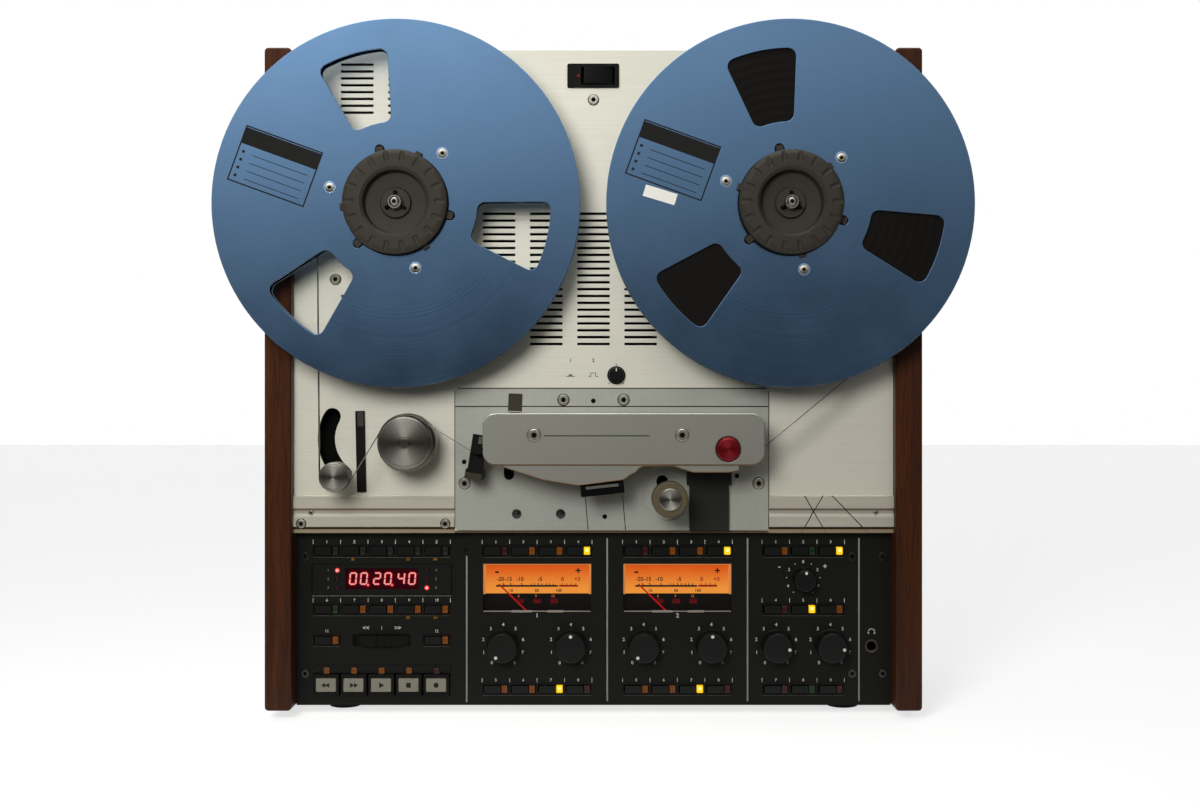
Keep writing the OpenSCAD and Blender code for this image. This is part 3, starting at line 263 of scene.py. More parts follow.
def math_node(tree, operation, first, second=0.5):
    node = tree.nodes.new("ShaderNodeMath")
    node.operation = operation
    for value, socket in zip((first, second), node.inputs):
        feed(tree, value, socket)
    return node.outputs[0]


def times(tree, first, second):
    return math_node(tree, "MULTIPLY", first, second)


SPECKLE = "fine_speckle"
LINES = "brushed_lines"
RINGS = "turned_rings"
GRAIN = "walnut_grain"


def build_groups():
    """Fine speckle, brushed lines, turned rings about an axis square to the front, and upright wood grain."""
    scale = ("Scale", "NodeSocketFloat", 900.0)
    made = ["Grain", "Smudge"]
    tree, entry, leave, coords = new_group(SPECKLE, [scale], made)
    link(tree, noise(tree, coords, entry["Scale"]), leave["Grain"])
    link(tree, noise(tree, coords, 14.0, 5.0, 0.6), leave["Smudge"])

    stretch = ("Stretch", "NodeSocketVector", (0.012, 1, 1))
    tree, entry, leave, coords = new_group(LINES, [scale, stretch], made)
    lines = vector_math(tree, "MULTIPLY", coords, entry["Stretch"])
    link(tree, noise(tree, lines, entry["Scale"], 4.0, 0.7), leave["Grain"])
    link(tree, noise(tree, coords, 9.0, 5.0, 0.6), leave["Smudge"])

    tree, entry, leave, coords = new_group(RINGS, [scale, ("Centre", "NodeSocketVector", (0, 0, 0))], made)
    flat = vector_math(tree, "MULTIPLY", vector_math(tree, "SUBTRACT", coords, entry["Centre"]), (1, 0, 1))
    rings = tree.nodes.new("ShaderNodeCombineXYZ")
    link(tree, vector_math(tree, "LENGTH", flat, (0, 0, 0)), rings.inputs[0])
    link(tree, noise(tree, rings.outputs[0], entry["Scale"], 4.0, 0.7), leave["Grain"])
    link(tree, noise(tree, coords, 12.0, 5.0, 0.6), leave["Smudge"])

    tree, _, leave, coords = new_group(GRAIN, [], ["Grain", "Pores"])
    drift = tree.nodes.new("ShaderNodeCombineXYZ")
    link(tree, times(tree, noise(tree, coords, 9.0, 3.0, 0.5), 0.02), drift.inputs[0])
    bent = vector_math(tree, "ADD", coords, drift.outputs[0])
    bands = noise(tree, vector_math(tree, "MULTIPLY", bent, (1, 0.55, 0.05)), 130.0, 6.0, 0.65)
    streaks = noise(tree, vector_math(tree, "MULTIPLY", bent, (1, 1, 0.02)), 620.0, 4.0, 0.7)
    link(tree, math_node(tree, "ADD", times(tree, bands, 0.65), times(tree, streaks, 0.35)), leave["Grain"])
    fine = noise(tree, vector_math(tree, "MULTIPLY", coords, (1, 1, 0.03)), 1500.0, 2.0, 0.5)
    link(tree, math_node(tree, "GREATER_THAN", fine, 0.62), leave["Pores"])


# Finishes

FINISHES = {}


def bare_material(name):
    """A new material, kept under its name among the finishes: its nodes and its shader."""
    material = bpy.data.materials.new(name)
    material.use_nodes = True
    FINISHES[name] = material
    return material.node_tree, material.node_tree.nodes["Principled BSDF"]


def adjust(shader, values):
    """Sets sockets of a shader by their names."""
    for name, value in values.items():
        shader.inputs[name].default_value = value


def placed_group(tree, name):
    group = tree.nodes.new("ShaderNodeGroup")
    group.node_tree = bpy.data.node_groups[name]
    return group


def tinted(value, factor):
    """A colour made lighter or darker, with its alpha."""
    return tuple(min(1.0, channel * factor) for channel in value) + (1.0,)


def ramp(tree, value, source, target, smooth=True):
    """Maps one range of a value to another."""
    node = tree.nodes.new("ShaderNodeMapRange")
    if smooth:
        node.interpolation_type = "SMOOTHSTEP"
    link(tree, value, node.inputs["Value"])
    node.inputs["From Min"].default_value, node.inputs["From Max"].default_value = source
    node.inputs["To Min"].default_value, node.inputs["To Max"].default_value = target
    return node.outputs["Result"]


def spread(tree, value, low, high):
    """Maps the middle range of a noise to low and high."""
    return ramp(tree, value, (0.3, 0.7), (low, high), smooth=False)


def mixed(tree, factor, first, second):
    node = tree.nodes.new("ShaderNodeMix")
    node.data_type = "RGBA"
    link(tree, factor, node.inputs["Factor"])
    feed(tree, first, node.inputs[6])
    feed(tree, second, node.inputs[7])
    return node.outputs[2]


def raised(tree, shader, height, distance, strength=0.4):
    node = tree.nodes.new("ShaderNodeBump")
    node.inputs["Strength"].default_value = strength
    node.inputs["Distance"].default_value = distance
    link(tree, height, node.inputs["Height"])
    link(tree, node.outputs["Normal"], shader.inputs["Normal"])


def finish(name, base, roughness, metallic=0.0, pattern=SPECKLE, scale=2200.0, contrast=0.08, smudge=0.06,
           relief=0.02, specular=0.5, coat=0.0, centre=None, anisotropic=0.0):
    """A surface whose colour, roughness and relief follow one of the shared patterns; returns its shader."""
    tree, shader = bare_material(name)
    group = placed_group(tree, pattern)
    group.inputs["Scale"].default_value = scale
    if centre:
        group.inputs["Centre"].default_value = centre
    grain = group.outputs["Grain"]
    slow = group.outputs["Smudge"]
    fine, dull = (mixed(tree, spread(tree, grain, 0, 1), tinted(base, 1 - contrast - less),
                        tinted(base, 1 + contrast - less)) for less in (0, smudge))
    link(tree, mixed(tree, spread(tree, slow, 0, 1), fine, dull), shader.inputs["Base Color"])
    varied = math_node(tree, "ADD", spread(tree, grain, -0.04, 0.04), spread(tree, slow, -0.06, 0.06))
    link(tree, math_node(tree, "ADD", varied, roughness), shader.inputs["Roughness"])
    adjust(shader, {"Metallic": metallic, "Specular IOR Level": specular, "Coat Weight": coat,
                    "Coat Roughness": 0.25})
    if anisotropic:
        adjust(shader, {"Anisotropic": anisotropic})
        link(tree, away_from(tree, centre), shader.inputs["Tangent"])
    raised(tree, shader, grain, relief * MM)
    return shader


def away_from(tree, centre):
    """The direction away from an axis square to the front, for the sheen of turned metal."""
    offset = vector_math(tree, "SUBTRACT", object_coords(tree), tuple(centre))
    to_world = tree.nodes.new("ShaderNodeVectorTransform")
    to_world.vector_type = "VECTOR"
    to_world.convert_from = "OBJECT"
    to_world.convert_to = "WORLD"
    link(tree, vector_math(tree, "MULTIPLY", offset, (1, 0, 1)), to_world.inputs[0])
    return to_world.outputs[0]


def walnut():
    """Oiled walnut with pores."""
    tree, shader = bare_material("walnut")
    group = placed_group(tree, GRAIN)
    grain, pores = group.outputs["Grain"], group.outputs["Pores"]
    dark, light = colours().walnut_dark, colours().walnut_light
    wood = mixed(tree, spread(tree, grain, 0, 1), tinted(dark, 1), tinted(light, 1))
    link(tree, mixed(tree, times(tree, pores, 0.55), wood, tinted(dark, 0.45)), shader.inputs["Base Color"])
    link(tree, spread(tree, grain, 0.5, 0.38), shader.inputs["Roughness"])
    adjust(shader, {"Specular IOR Level": 0.2})
    raised(tree, shader, math_node(tree, "SUBTRACT", 1.0, pores), 0.08 * MM, 0.5)


def glowing(name, base, strength):
    """A lit surface, a little uneven, that is darker when it is off."""
    shader = finish(name, tinted(base, 0.3)[:3], 0.35, scale=1500.0, contrast=0.1, specular=0.2)
    adjust(shader, {"Emission Color": tuple(base) + (1.0,), "Emission Strength": strength})


def clear(name, base, alpha, roughness):
    """Thin clear or smoked plastic."""
    shader = finish(name, base, roughness, contrast=0.02, smudge=0.02, relief=0.004, specular=0.06)
    adjust(shader, {"Alpha": alpha})


def lit_dial(name, top_z, low_z):
    """The orange dial of a meter, lit from its upper edge."""
    tree, shader = bare_material(name)
    coords = object_coords(tree)
    parts = tree.nodes.new("ShaderNodeSeparateXYZ")
    link(tree, coords, parts.inputs[0])
    fall = ramp(tree, parts.outputs[2], (top_z, low_z), (0, 1))
    uneven = math_node(tree, "ADD", fall, spread(tree, noise(tree, coords, 60.0), -0.05, 0.05))
    for socket, share in (("Base Color", 0.1), ("Emission Color", 1)):
        link(tree, mixed(tree, uneven, tinted(colours().dial_top, share), tinted(colours().dial_low, share)),
             shader.inputs[socket])
    adjust(shader, {"Emission Strength": 1.0, "Specular IOR Level": 0.1, "Roughness": 0.6})


# Name, colour or colour property, roughness, metallic, pattern and its scale, contrast, smudge, relief,
# specular level and coat
SURFACES = (
    ("deck_alloy", "deck", 0.42, 0.45, LINES, 1500, 0.05, 0.05, 0.012),
    ("rail_alloy", (218, 213, 194), 0.36, 0.55, LINES, 1300, 0.05, 0.06, 0.01),
    ("rail_lip", (172, 156, 128), 0.4, 0.5, LINES, 1300, 0.05, 0.1, 0.01),
    # Painted shade on the groove's upper wall, half light in its middle and painted light at its foot
    ("groove_top", (118, 104, 90), 0.6, 0.1, LINES, 1300, 0.05, 0.1, 0.01),
    ("groove_mid", (168, 160, 146), 0.55, 0.2, LINES, 1300, 0.05, 0.1, 0.01),
    ("groove_foot", (196, 192, 178), 0.6, 0.2, LINES, 1300, 0.05, 0.1, 0.01),
    # Painted shade with a painted brown reflection, for the gap under the rails
    ("gap_brown", (66, 46, 30), 0.6, 0, SPECKLE, 2200, 0.12, 0.2, 0.02, 0.1),
    ("head_grey", "head_plate", 0.4, 0.5, SPECKLE, 900, 0.05, 0.16, 0.02),
    ("cover_paint", "head_cover", 0.38, 0.5, SPECKLE, 2600, 0.07, 0.05, 0.02),
    # Pale chamfers of the cover: a painted highlight
    ("cover_edge", (208, 206, 196), 0.3, 0.85, SPECKLE, 2200, 0.05, 0.08),
    # Brown of edges: painted shade on the cover's lower chamfers, a painted highlight on the skirt's rim, and the
    # deck's lower edge
    ("edge_brown", (122, 96, 70), 0.4, 0.6, SPECKLE, 2200, 0.1, 0.2),
    ("tab_brown", (58, 54, 44), 0.5, 0.3, SPECKLE, 500, 0.15, 0.2, 0.02),
    # Painted shade for grooves and gaps round plates and screws
    ("seam_dark", (58, 54, 46), 0.6, 0, SPECKLE, 2200, 0.1, 0.2, 0.02, 0.1),
    ("window_grey", (58, 58, 54), 0.5, 0, SPECKLE, 2200, 0.15, 0.2, 0.02, 0.2),
    # Paler blue of the reels' edges: a painted highlight
    ("reel_edge", (150, 176, 205), 0.3, 0.8, SPECKLE, 900, 0.06, 0.06, 0.004),
    ("adapter_plastic", "adapter", 0.5, 0, SPECKLE, 2600, 0.1, 0.12, 0.03, 0.25),
    ("tape_coat", "tape", 0.3, 0, LINES, 700, 0.12, 0.06, 0.004, 0.3),
    ("bright_steel", "steel", 0.26, 1, SPECKLE, 400, 0.03, 0.06, 0.002),
    ("screw_steel", (226, 220, 204), 0.3, 1, SPECKLE, 400, 0.03, 0.06, 0.002),
    ("dark_steel", (78, 72, 62), 0.38, 0.8, SPECKLE, 400, 0.06, 0.1, 0.004),
    ("zinc_steel", (120, 120, 112), 0.45, 0.75, SPECKLE, 260, 0.08, 0.1, 0.01),
    # Darker sides of the rollers: painted shade
    ("roller_side", (100, 96, 84), 0.36, 0.9, LINES, 900, 0.08, 0.1, 0.004),
    ("rubber_ring", "rubber", 0.5, 0, SPECKLE, 1800, 0.06, 0.06, 0.02, 0.3),
    ("pad_rubber", (26, 26, 25), 0.32, 0, SPECKLE, 2200, 0.1, 0.2, 0.02, 0.5),
    ("apron_black", (33, 33, 29), 0.55, 0, SPECKLE, 1600, 0.16, 0.25, 0.02, 0.25),
    ("foot_rubber", (20, 20, 19), 0.8, 0, SPECKLE, 900, 0.25, 0.06, 0.06, 0.2),
    ("rear_paint", (34, 34, 34), 0.55, 0.1, SPECKLE, 1100, 0.18, 0.1, 0.05),
    ("brass", (176, 140, 80), 0.32, 1, SPECKLE, 900, 0.08, 0.1, 0.01),
    ("card_green", (30, 80, 50), 0.5, 0, SPECKLE, 300, 0.15, 0.1, 0.03),
    ("motor_grey", (110, 112, 112), 0.45, 0.85, SPECKLE, 2200, 0.08, 0.06, 0.01),
    ("core_steel", (92, 80, 66), 0.55, 0.5, LINES, 900, 0.2, 0.1, 0.05),
    ("panel_black", "panel", 0.5, 0, SPECKLE, 3000, 0.16, 0.1, 0.03, 0.12),
    ("gloss_black", (12, 12, 12), 0.22, 0, SPECKLE, 2200, 0.04, 0.06, 0.004, 0.15),
    ("matt_black", (11, 11, 10), 0.75, 0, SPECKLE, 1600, 0.2, 0.06, 0.02, 0.08),
    ("black_plastic", "keys", 0.42, 0, SPECKLE, 3200, 0.12, 0.08, 0.02, 0.08),
    ("knob_plastic", (15, 15, 14), 0.4, 0, SPECKLE, 3200, 0.12, 0.08, 0.02, 0.2),
    ("screw_black", (20, 20, 19), 0.28, 0, SPECKLE, 2200, 0.06, 0.06, 0.02, 0.6),
    ("cap_grey", "caps", 0.45, 0, SPECKLE, 1800, 0.05, 0.1, 0.02, 0.3),
    ("mark_red", "red_mark", 0.32, 0, SPECKLE, 2200, 0.06, 0.05, 0.02, 0.3, 0.15),
    ("white_print", "print_white", 0.6, 0, SPECKLE, 2200, 0.12, 0.2, 0.02, 0.2),
    ("dim_print", (120, 120, 112), 0.6, 0, SPECKLE, 2200, 0.12, 0.2, 0.02, 0.2),
    ("amber_print", "print_amber", 0.6, 0, SPECKLE, 2200, 0.12, 0.2, 0.02, 0.2),
    ("black_print", "print_black", 0.6, 0, SPECKLE, 2200, 0.12, 0.1, 0.02, 0.15),
    ("dot_white", (226, 226, 214), 0.5, 0, SPECKLE, 2200, 0.05, 0.08),
    ("edge_grey", (84, 84, 78), 0.5, 0, SPECKLE, 2200, 0.2, 0.25, 0.02, 0.2),
    ("divider_line", (150, 152, 138), 0.5, 0, SPECKLE, 2200, 0.1, 0.2, 0.02, 0.2),
    ("sticker_paper", (226, 226, 216), 0.7, 0, SPECKLE, 2200, 0.03, 0.06, 0.02),
    ("amber_lamp", "lamp_amber", 0.3, 0, SPECKLE, 300, 0.08, 0.06, 0.02, 0.3),
    ("red_lamp", "lamp_red", 0.3, 0, SPECKLE, 300, 0.08, 0.06, 0.02, 0.3),
    ("green_lamp", "lamp_green", 0.3, 0, SPECKLE, 300, 0.08, 0.06, 0.02, 0.3),
    ("dark_lamp", "lamp_dark", 0.35, 0, SPECKLE, 300, 0.08, 0.06, 0.02, 0.25),
    ("counter_back", (52, 5, 14), 0.5, 0, SPECKLE, 2200, 0.1, 0.06, 0.02, 0.1),
    ("led_dark", (44, 9, 13), 0.25, 0, SPECKLE, 2200, 0.08, 0.06, 0.02, 0.2, 0.2),
    ("meter_mask", (15, 12, 11), 0.5, 0, SPECKLE, 2200, 0.2, 0.06, 0.01, 0.1),
)
# Name, colour or colour property, strength
GLOWS = (
    ("lit_lamp", "lamp_lit", 1.1), ("lamp_core", (255, 240, 150), 1.0),
    ("led_lit", (255, 70, 64), 0.9), ("led_core", (255, 200, 186), 1.0),
    ("counter_digit", "digit", 0.95), ("counter_glow", "digit_glow", 0.75), ("counter_halo", "digit_glow", 0.2),
    # The needles, the side walls of the meters and the red and amber print glow: painted light of the meters'
    # hidden lamp
    ("needle_red", "needle", 0.5), ("meter_red", (120, 12, 22), 0.3), ("meter_side", (232, 150, 84), 0.62),
    ("scale_red", (176, 26, 16), 0.4), ("peak_amber", (206, 120, 50), 0.5),
)
# Name, colour, alpha, roughness
CLEARS = (("clear_window", (60, 58, 56), 0.04, 0.06), ("lens_lip", (170, 160, 148), 0.75, 0.12),
          ("smoked_window", (60, 4, 14), 0.12, 0.06))


def tone(value):
    """A colour from the property of that name, or from screen values."""
    return getattr(colours(), value) if isinstance(value, str) else srgb(*value)


def build_finishes():
    """Makes every finish of the tables, and those that are turned about an axis."""
    walnut()
    for make, table in ((finish, SURFACES), (glowing, GLOWS), (clear, CLEARS)):
        for name, base, *values in table:
            make(name, tone(base), *values)
    for side, x in HUBS.items():
        finish(f"reel_blue_{side}", tone("reel"), 0.19, 1.0, RINGS, 700, 0.05, 0.05, 0.01,
               centre=place(x, 0, HUB_Z))
    finish("wound_tape", tone("pack"), 0.45, 0, RINGS, 2200, 0.3, 0.1, 0.03, 0.08,
           centre=place(TAKEUP_X, 0, HUB_Z))
    for joint in ("tension_roller_spin", "guide_roller_spin", "pinch_roller_spin", "capstan_spin"):
        x, z = axis_of(joint)
        finish(f"turned_{joint}", tone("alloy"), 0.42, 1.0, RINGS, 2600, 0.05, 0.05, 0.004,
               centre=place(x, 0, z), anisotropic=1.0)
    x, z = middle_of(*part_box("cue_button"))
    finish("button_red", srgb(122, 18, 26), 0.42, 0.7, RINGS, 1800, 0.05, 0.05, 0.004,
           centre=place(x, 0, z), anisotropic=0.85)


# Modelling helpers


def mode(name):
    bpy.ops.object.mode_set(mode=name)


def choose(piece):
    """Selects one object alone and makes it active."""
    bpy.ops.object.select_all(action="DESELECT")
    piece.select_set(True)
    bpy.context.view_layer.objects.active = piece


def begin(name):
    """A new empty mesh object at the origin, open in edit mode."""
    bpy.ops.object.select_all(action="DESELECT")
    bpy.ops.object.add(type="MESH", location=(0, 0, 0))
    made = bpy.context.object
    made.name = name
    made.data.name = name
    mode("EDIT")
    bpy.ops.mesh.select_mode(type="FACE")
    return made


def block(width, thick, height, x, depth, z, edge=0.15, lean=0.0, segments=2):
    """A block with rounded edges, in millimetres; lean is in degrees clockwise from the front."""
    bpy.ops.mesh.primitive_cube_add(size=1, location=place(x, depth, z), rotation=(0, math.radians(lean), 0),
                                    scale=(width * MM, thick * MM, height * MM))
    bpy.ops.mesh.bevel(offset=edge * MM, segments=segments, affect="EDGES")


def boxed(low, high, edge, segments=2):
    """A block with rounded edges between two corners."""
    x, z = middle_of(low, high)
    block(*((high - low) / MM), x, depth_of((low.y + high.y) / 2), z, edge, 0, segments)


def flat_mark(depth, x, z, width, height, lean=0.0):
    """A thin printed bar that stands just out of the surface at that depth."""
    t = sizes().print_t / MM
    block(width, t, height, x, depth + t / 2, z, 0.4 * t, lean, 1)


def draw_line(made, points, closed=False):
    """Adds selected edges from point to point."""
    bpy.ops.mesh.select_all(action="DESELECT")
    bpy.ops.mesh.select_mode(type="EDGE")
    mesh = bmesh.from_edit_mesh(made.data)
    corners = [mesh.verts.new(point) for point in points]
    for pair in zip(corners, corners[1:] + corners[:1] if closed else corners[1:]):
        mesh.edges.new(pair).select_set(True)
    bmesh.update_edit_mesh(made.data)


def add_turned(x, z, outline, count=48, ring=False, base=0.0):
    """A turned shape about an axis square to the front: radii, and depths from a base, of its outline."""
    draw_line(bpy.context.object, [place(x + radius, base + depth, z) for radius, depth in outline], ring)
    bpy.ops.mesh.spin(steps=count, angle=2 * math.pi, center=place(x, 0, z), axis=(0, 1, 0))
    bpy.ops.mesh.select_all(action="SELECT")
    bpy.ops.mesh.remove_doubles(threshold=1e-6)
    bpy.ops.mesh.select_mode(type="FACE")


def dish_fronts(made, width, sink):
    """Sets the front faces in from their edges and sinks them a little."""
    mesh = bmesh.from_edit_mesh(made.data)
    for face in mesh.faces:
        face.select_set(face.normal.y < -0.99)
    bmesh.update_edit_mesh(made.data)
    bpy.ops.mesh.inset(thickness=width, depth=-sink, use_individual=True)


def turn_outward():
    bpy.ops.mesh.select_all(action="SELECT")
    bpy.ops.mesh.normals_make_consistent(inside=False)


def end(made, body, finish_name, replaces=(), angle=35, outward=True):
    """Closes a piece: outward faces, smooth shading, finish, and the body that it rides on."""
    if bpy.context.mode == "EDIT_MESH":
        mode("OBJECT")
    choose(made)
    if outward:
        mode("EDIT")
        turn_outward()
        mode("OBJECT")
    bpy.ops.object.shade_smooth_by_angle(angle=math.radians(angle))
    even = made.modifiers.new("even_normals", "WEIGHTED_NORMAL")
    even.keep_sharp = True
    bpy.ops.object.modifier_apply(modifier=even.name)
    made.data.materials.append(FINISHES[finish_name])
    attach(made, body)
    if replaces:
        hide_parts(*replaces)
    return made


@contextmanager
def piece(name, body, slot, finish_name=None, replaces=()):
    """A piece that is modelled inside a with block; its finish is the slot's where none is named."""
    made = begin(name)
    yield made
    end(made, body, finish_name or slot, replaces)


def round_edges(made, width, segments, test):
    """Rounds the sharp edges whose middles pass a test."""
    mode("EDIT")
    bpy.ops.mesh.select_mode(type="EDGE")
    bpy.ops.mesh.select_all(action="DESELECT")
    mesh = bmesh.from_edit_mesh(made.data)
    for edge in mesh.edges:
        sharp = len(edge.link_faces) == 2 and edge.calc_face_angle(0) > SHARP
        edge.select_set(sharp and test((edge.verts[0].co + edge.verts[1].co) / 2))
    bmesh.update_edit_mesh(made.data)
    bpy.ops.mesh.bevel(offset=width, segments=segments, affect="EDGES", clamp_overlap=True)
    bpy.ops.mesh.select_mode(type="FACE")
    mode("OBJECT")


def eased(node, edge, finish_name, segments=2, only=None):
    """A copy of a solid with merged faces and rounded edges, in place of that solid."""
    source = frame["nodes"][node]
    made = source.copy()
    made.data = source.data.copy()
    for key in list(made.keys()):
        del made[key]
    made.parent = None
    made.matrix_world = Matrix.Identity(4)
    made.name = node + "_eased"
    made.data.name = made.name
    made.data.materials.clear()
    bpy.context.scene.collection.objects.link(made)
    choose(made)
    bpy.ops.mesh.customdata_custom_splitnormals_clear()
    mode("EDIT")
    bpy.ops.mesh.select_all(action="SELECT")
    bpy.ops.mesh.remove_doubles(threshold=2e-6)
    bpy.ops.mesh.dissolve_limited(angle_limit=math.radians(0.4), use_dissolve_boundaries=False)
    mode("OBJECT")
    if only:
        round_edges(made, edge * MM, segments, only)
    else:
        bevel = made.modifiers.new("edges", "BEVEL")
        bevel.width = edge * MM
        bevel.segments = segments
        bevel.limit_method = "ANGLE"
        bevel.angle_limit = SHARP
        bevel.miter_outer = "MITER_ARC"
        bpy.ops.object.modifier_apply(modifier=bevel.name)
    return end(made, BODY_OF[node], finish_name, (node,), outward=False)


def paint_faces(made, finish_name, test):
    """Gives a second finish to the faces that pass a test of their middle and normal."""
    made.data.materials.append(FINISHES[finish_name])
    index = len(made.data.materials) - 1
    for face in made.data.polygons:
        if test(face.center, face.normal):
            face.material_index = index


def dress(node, finish_name):
    """Gives a carried-over solid its finish."""
    materials = frame["nodes"][node].data.materials
    materials.clear()
    materials.append(FINISHES[finish_name])


def islands(node):
    """The boxes of a node's separate solids, from the top row to the bottom one and from the left."""
    mesh = frame["nodes"][node].data
    owner = {}

    def root(key):
        while owner[key] != key:
            owner[key] = owner[owner[key]]
            key = owner[key]
        return key

    keys = [tuple(round(c, 6) for c in v.co) for v in mesh.vertices]
    for key in keys:
        owner.setdefault(key, key)
    for face in mesh.polygons:
        first = root(keys[face.vertices[0]])
        for vertex in face.vertices[1:]:
            owner[root(keys[vertex])] = first
    solids = {}
    for key in owner:
        solids.setdefault(root(key), []).append(key)
    found = [tuple(Vector(map(side, zip(*corners))) for side in (min, max)) for corners in solids.values()]
    return sorted(found, key=lambda box: (-round((box[0].z + box[1].z) * 250), box[0].x))


def rows(boxes):
    """Groups sorted boxes into rows of one height."""
    found = []
    for box in boxes:
        height = middle_of(*box)[1]
        if found and abs(found[-1][0] - height) < 2:
            found[-1][1].append(box)
        else:
            found.append((height, [box]))
    return found


def written(name, body, finish_name, depth, words=(), bars=()):
    """Raised print at a depth: words as (text, x, z, size), and bars as flat_mark takes them."""
    t = sizes().print_t
    letters = []
    for text, x, z, size in words:
        bpy.ops.object.text_add(location=place(x, depth, z) - Vector((0, t / 2, 0)),
                                rotation=(math.pi / 2, 0, 0))
        letter = bpy.context.object
        letter.data.body = text
        letter.data.size = size * MM
        letter.data.align_x = "CENTER"
        letter.data.align_y = "CENTER"
        letter.data.extrude = t / 2
        letter.data.offset = 0.022 * size * MM
        letter.data.resolution_u = 3
        letters.append(letter)

    def choose_letters(active):
        bpy.ops.object.select_all(action="DESELECT")
        for letter in letters:
            letter.select_set(True)
        active.select_set(True)
        bpy.context.view_layer.objects.active = active

    if letters:
        choose_letters(letters[0])
        bpy.ops.object.convert(target="MESH")
        bpy.ops.object.transform_apply(location=True, rotation=True, scale=True)
    made = begin(name)
    for bar in bars:
        flat_mark(depth, *bar)
    mode("OBJECT")
    if letters:
        choose_letters(made)
        bpy.ops.object.join()
        mode("EDIT")
        bpy.ops.mesh.select_all(action="SELECT")
        bpy.ops.mesh.remove_doubles(threshold=1e-7)
        mode("OBJECT")
    made.data.materials.clear()
    return end(made, body, finish_name, angle=30)


# Stage

# Lamps: place, target, size in metres and spread in degrees
KEY_LAMP = ((-0.25, -1.15, 0.52), (-0.1, PLATE_Y, 0.46), 0.38, 105)
FILL_LAMP = ((1.2, -1.3, 0.75), (0.0, PLATE_Y, 0.25), 1.2, 180)


class TAPEDECK_OT_stage(bpy.types.Operator):
    """Camera, white floor, lamps and room light"""

    bl_idname = "tapedeck.stage"
    bl_label = "Stage"

    def execute(self, context):
        stage = context.scene.tape_stage
        context.scene.view_settings.view_transform = "Standard"
        self.add_camera(context.scene, stage)
        self.add_floor()
        self.light_room(context.scene, stage.sky)
        self.add_lamp("key_lamp", stage.key_power, *KEY_LAMP)
        self.add_lamp("fill_lamp", stage.fill_power, *FILL_LAMP)
        return DONE

    def add_camera(self, scene, stage):
        data = bpy.data.cameras.new("camera")
        data.lens = stage.lens
        data.sensor_fit = "HORIZONTAL"
        data.sensor_width = 36
        camera = bpy.data.objects.new("camera", data)
        camera.location = (stage.side, PLATE_Y - stage.distance, stage.height)
        camera.rotation_euler = (math.pi / 2, 0, 0)
        scene.collection.objects.link(camera)
        scene.camera = camera

    def add_floor(self):
        bpy.ops.object.select_all(action="DESELECT")
        bpy.ops.mesh.primitive_plane_add(size=14, location=(0, 0, 0))
        floor = bpy.context.object
        floor.name = "floor"
        tree, shader = bare_material("floor_white")
        axes = tree.nodes.new("ShaderNodeSeparateXYZ")
        link(tree, object_coords(tree), axes.inputs[0])
        near = ramp(tree, axes.outputs[1], (-0.5, -0.2), (0, 1))
        path = tree.nodes.new("ShaderNodeLightPath").outputs
        seen = math_node(tree, "MAXIMUM", path["Is Camera Ray"], path["Is Transmission Ray"])
        shown = math_node(tree, "MAXIMUM", seen, times(tree, path["Is Glossy Ray"], near))
        dim, white = (0.1, 0.08, 0.065, 1), (0.86, 0.86, 0.85, 1)
        link(tree, mixed(tree, shown, dim, white), shader.inputs["Base Color"])
        adjust(shader, {"Roughness": 0.9, "Specular IOR Level": 0.1})
        glow = tree.nodes.new("ShaderNodeEmission")
        link(tree, times(tree, shown, 0.68), glow.inputs["Strength"])
        both = tree.nodes.new("ShaderNodeAddShader")
        link(tree, shader.outputs[0], both.inputs[0])
        link(tree, glow.outputs[0], both.inputs[1])
        link(tree, both.outputs[0], tree.nodes["Material Output"].inputs["Surface"])
        floor.data.materials.append(FINISHES["floor_white"])

    def light_room(self, scene, strength):
        """A white backdrop behind the object, and a dim room in front of it that is lighter above."""
        world = bpy.data.worlds.new("room")
        world.use_nodes = True
        scene.world = world
        tree = world.node_tree
        axes = tree.nodes.new("ShaderNodeSeparateXYZ")
        link(tree, tree.nodes.new("ShaderNodeTexCoord").outputs["Generated"], axes.inputs[0])
        x, y, z = axes.outputs
        path = tree.nodes.new("ShaderNodeLightPath").outputs
        glossy = path["Is Glossy Ray"]
        above = ramp(tree, z, (0.0, 0.42), (0, 2.0))
        leftward = ramp(tree, x, (-0.3, 0.25), (1.1, 0.42))
        ahead = ramp(tree, math_node(tree, "ABSOLUTE", x, 0.0), (0.28, 0.55), (1, 0.2))
        room = math_node(tree, "ADD", times(tree, times(tree, above, leftward), ahead), 0.08)
        behind = ramp(tree, y, (-0.1, 0.5), (0, 1))
        overhead = ramp(tree, z, (0.6, 0.95), (0, 2.4))
        ceiling = times(tree, times(tree, overhead, ahead), glossy)
        level = math_node(tree, "ADD", math_node(tree, "MAXIMUM", room, behind), ceiling)
        shown = math_node(tree, "MAXIMUM", path["Is Camera Ray"], path["Is Transmission Ray"])
        share = times(tree, level, math_node(tree, "ADD", times(tree, glossy, 1 - strength), strength))
        backdrop = tree.nodes["Background"].inputs
        link(tree, math_node(tree, "MAXIMUM", shown, share), backdrop["Strength"])
        backdrop["Color"].default_value = (1, 1, 1, 1)

    def add_lamp(self, name, watts, location, target, size, spread_angle):
        data = bpy.data.lights.new(name, "AREA")
        data.shape = "DISK"
        data.size = size
        data.energy = watts
        data.spread = math.radians(spread_angle)
        lamp = bpy.data.objects.new(name, data)
        lamp.location = location
        lamp.rotation_euler = (Vector(target) - Vector(location)).to_track_quat("-Z", "Y").to_euler()
        lamp.visible_glossy = False
        lamp.visible_camera = False
        bpy.context.scene.collection.objects.link(lamp)


# Cabinet

SUB_PLATE_D = -24


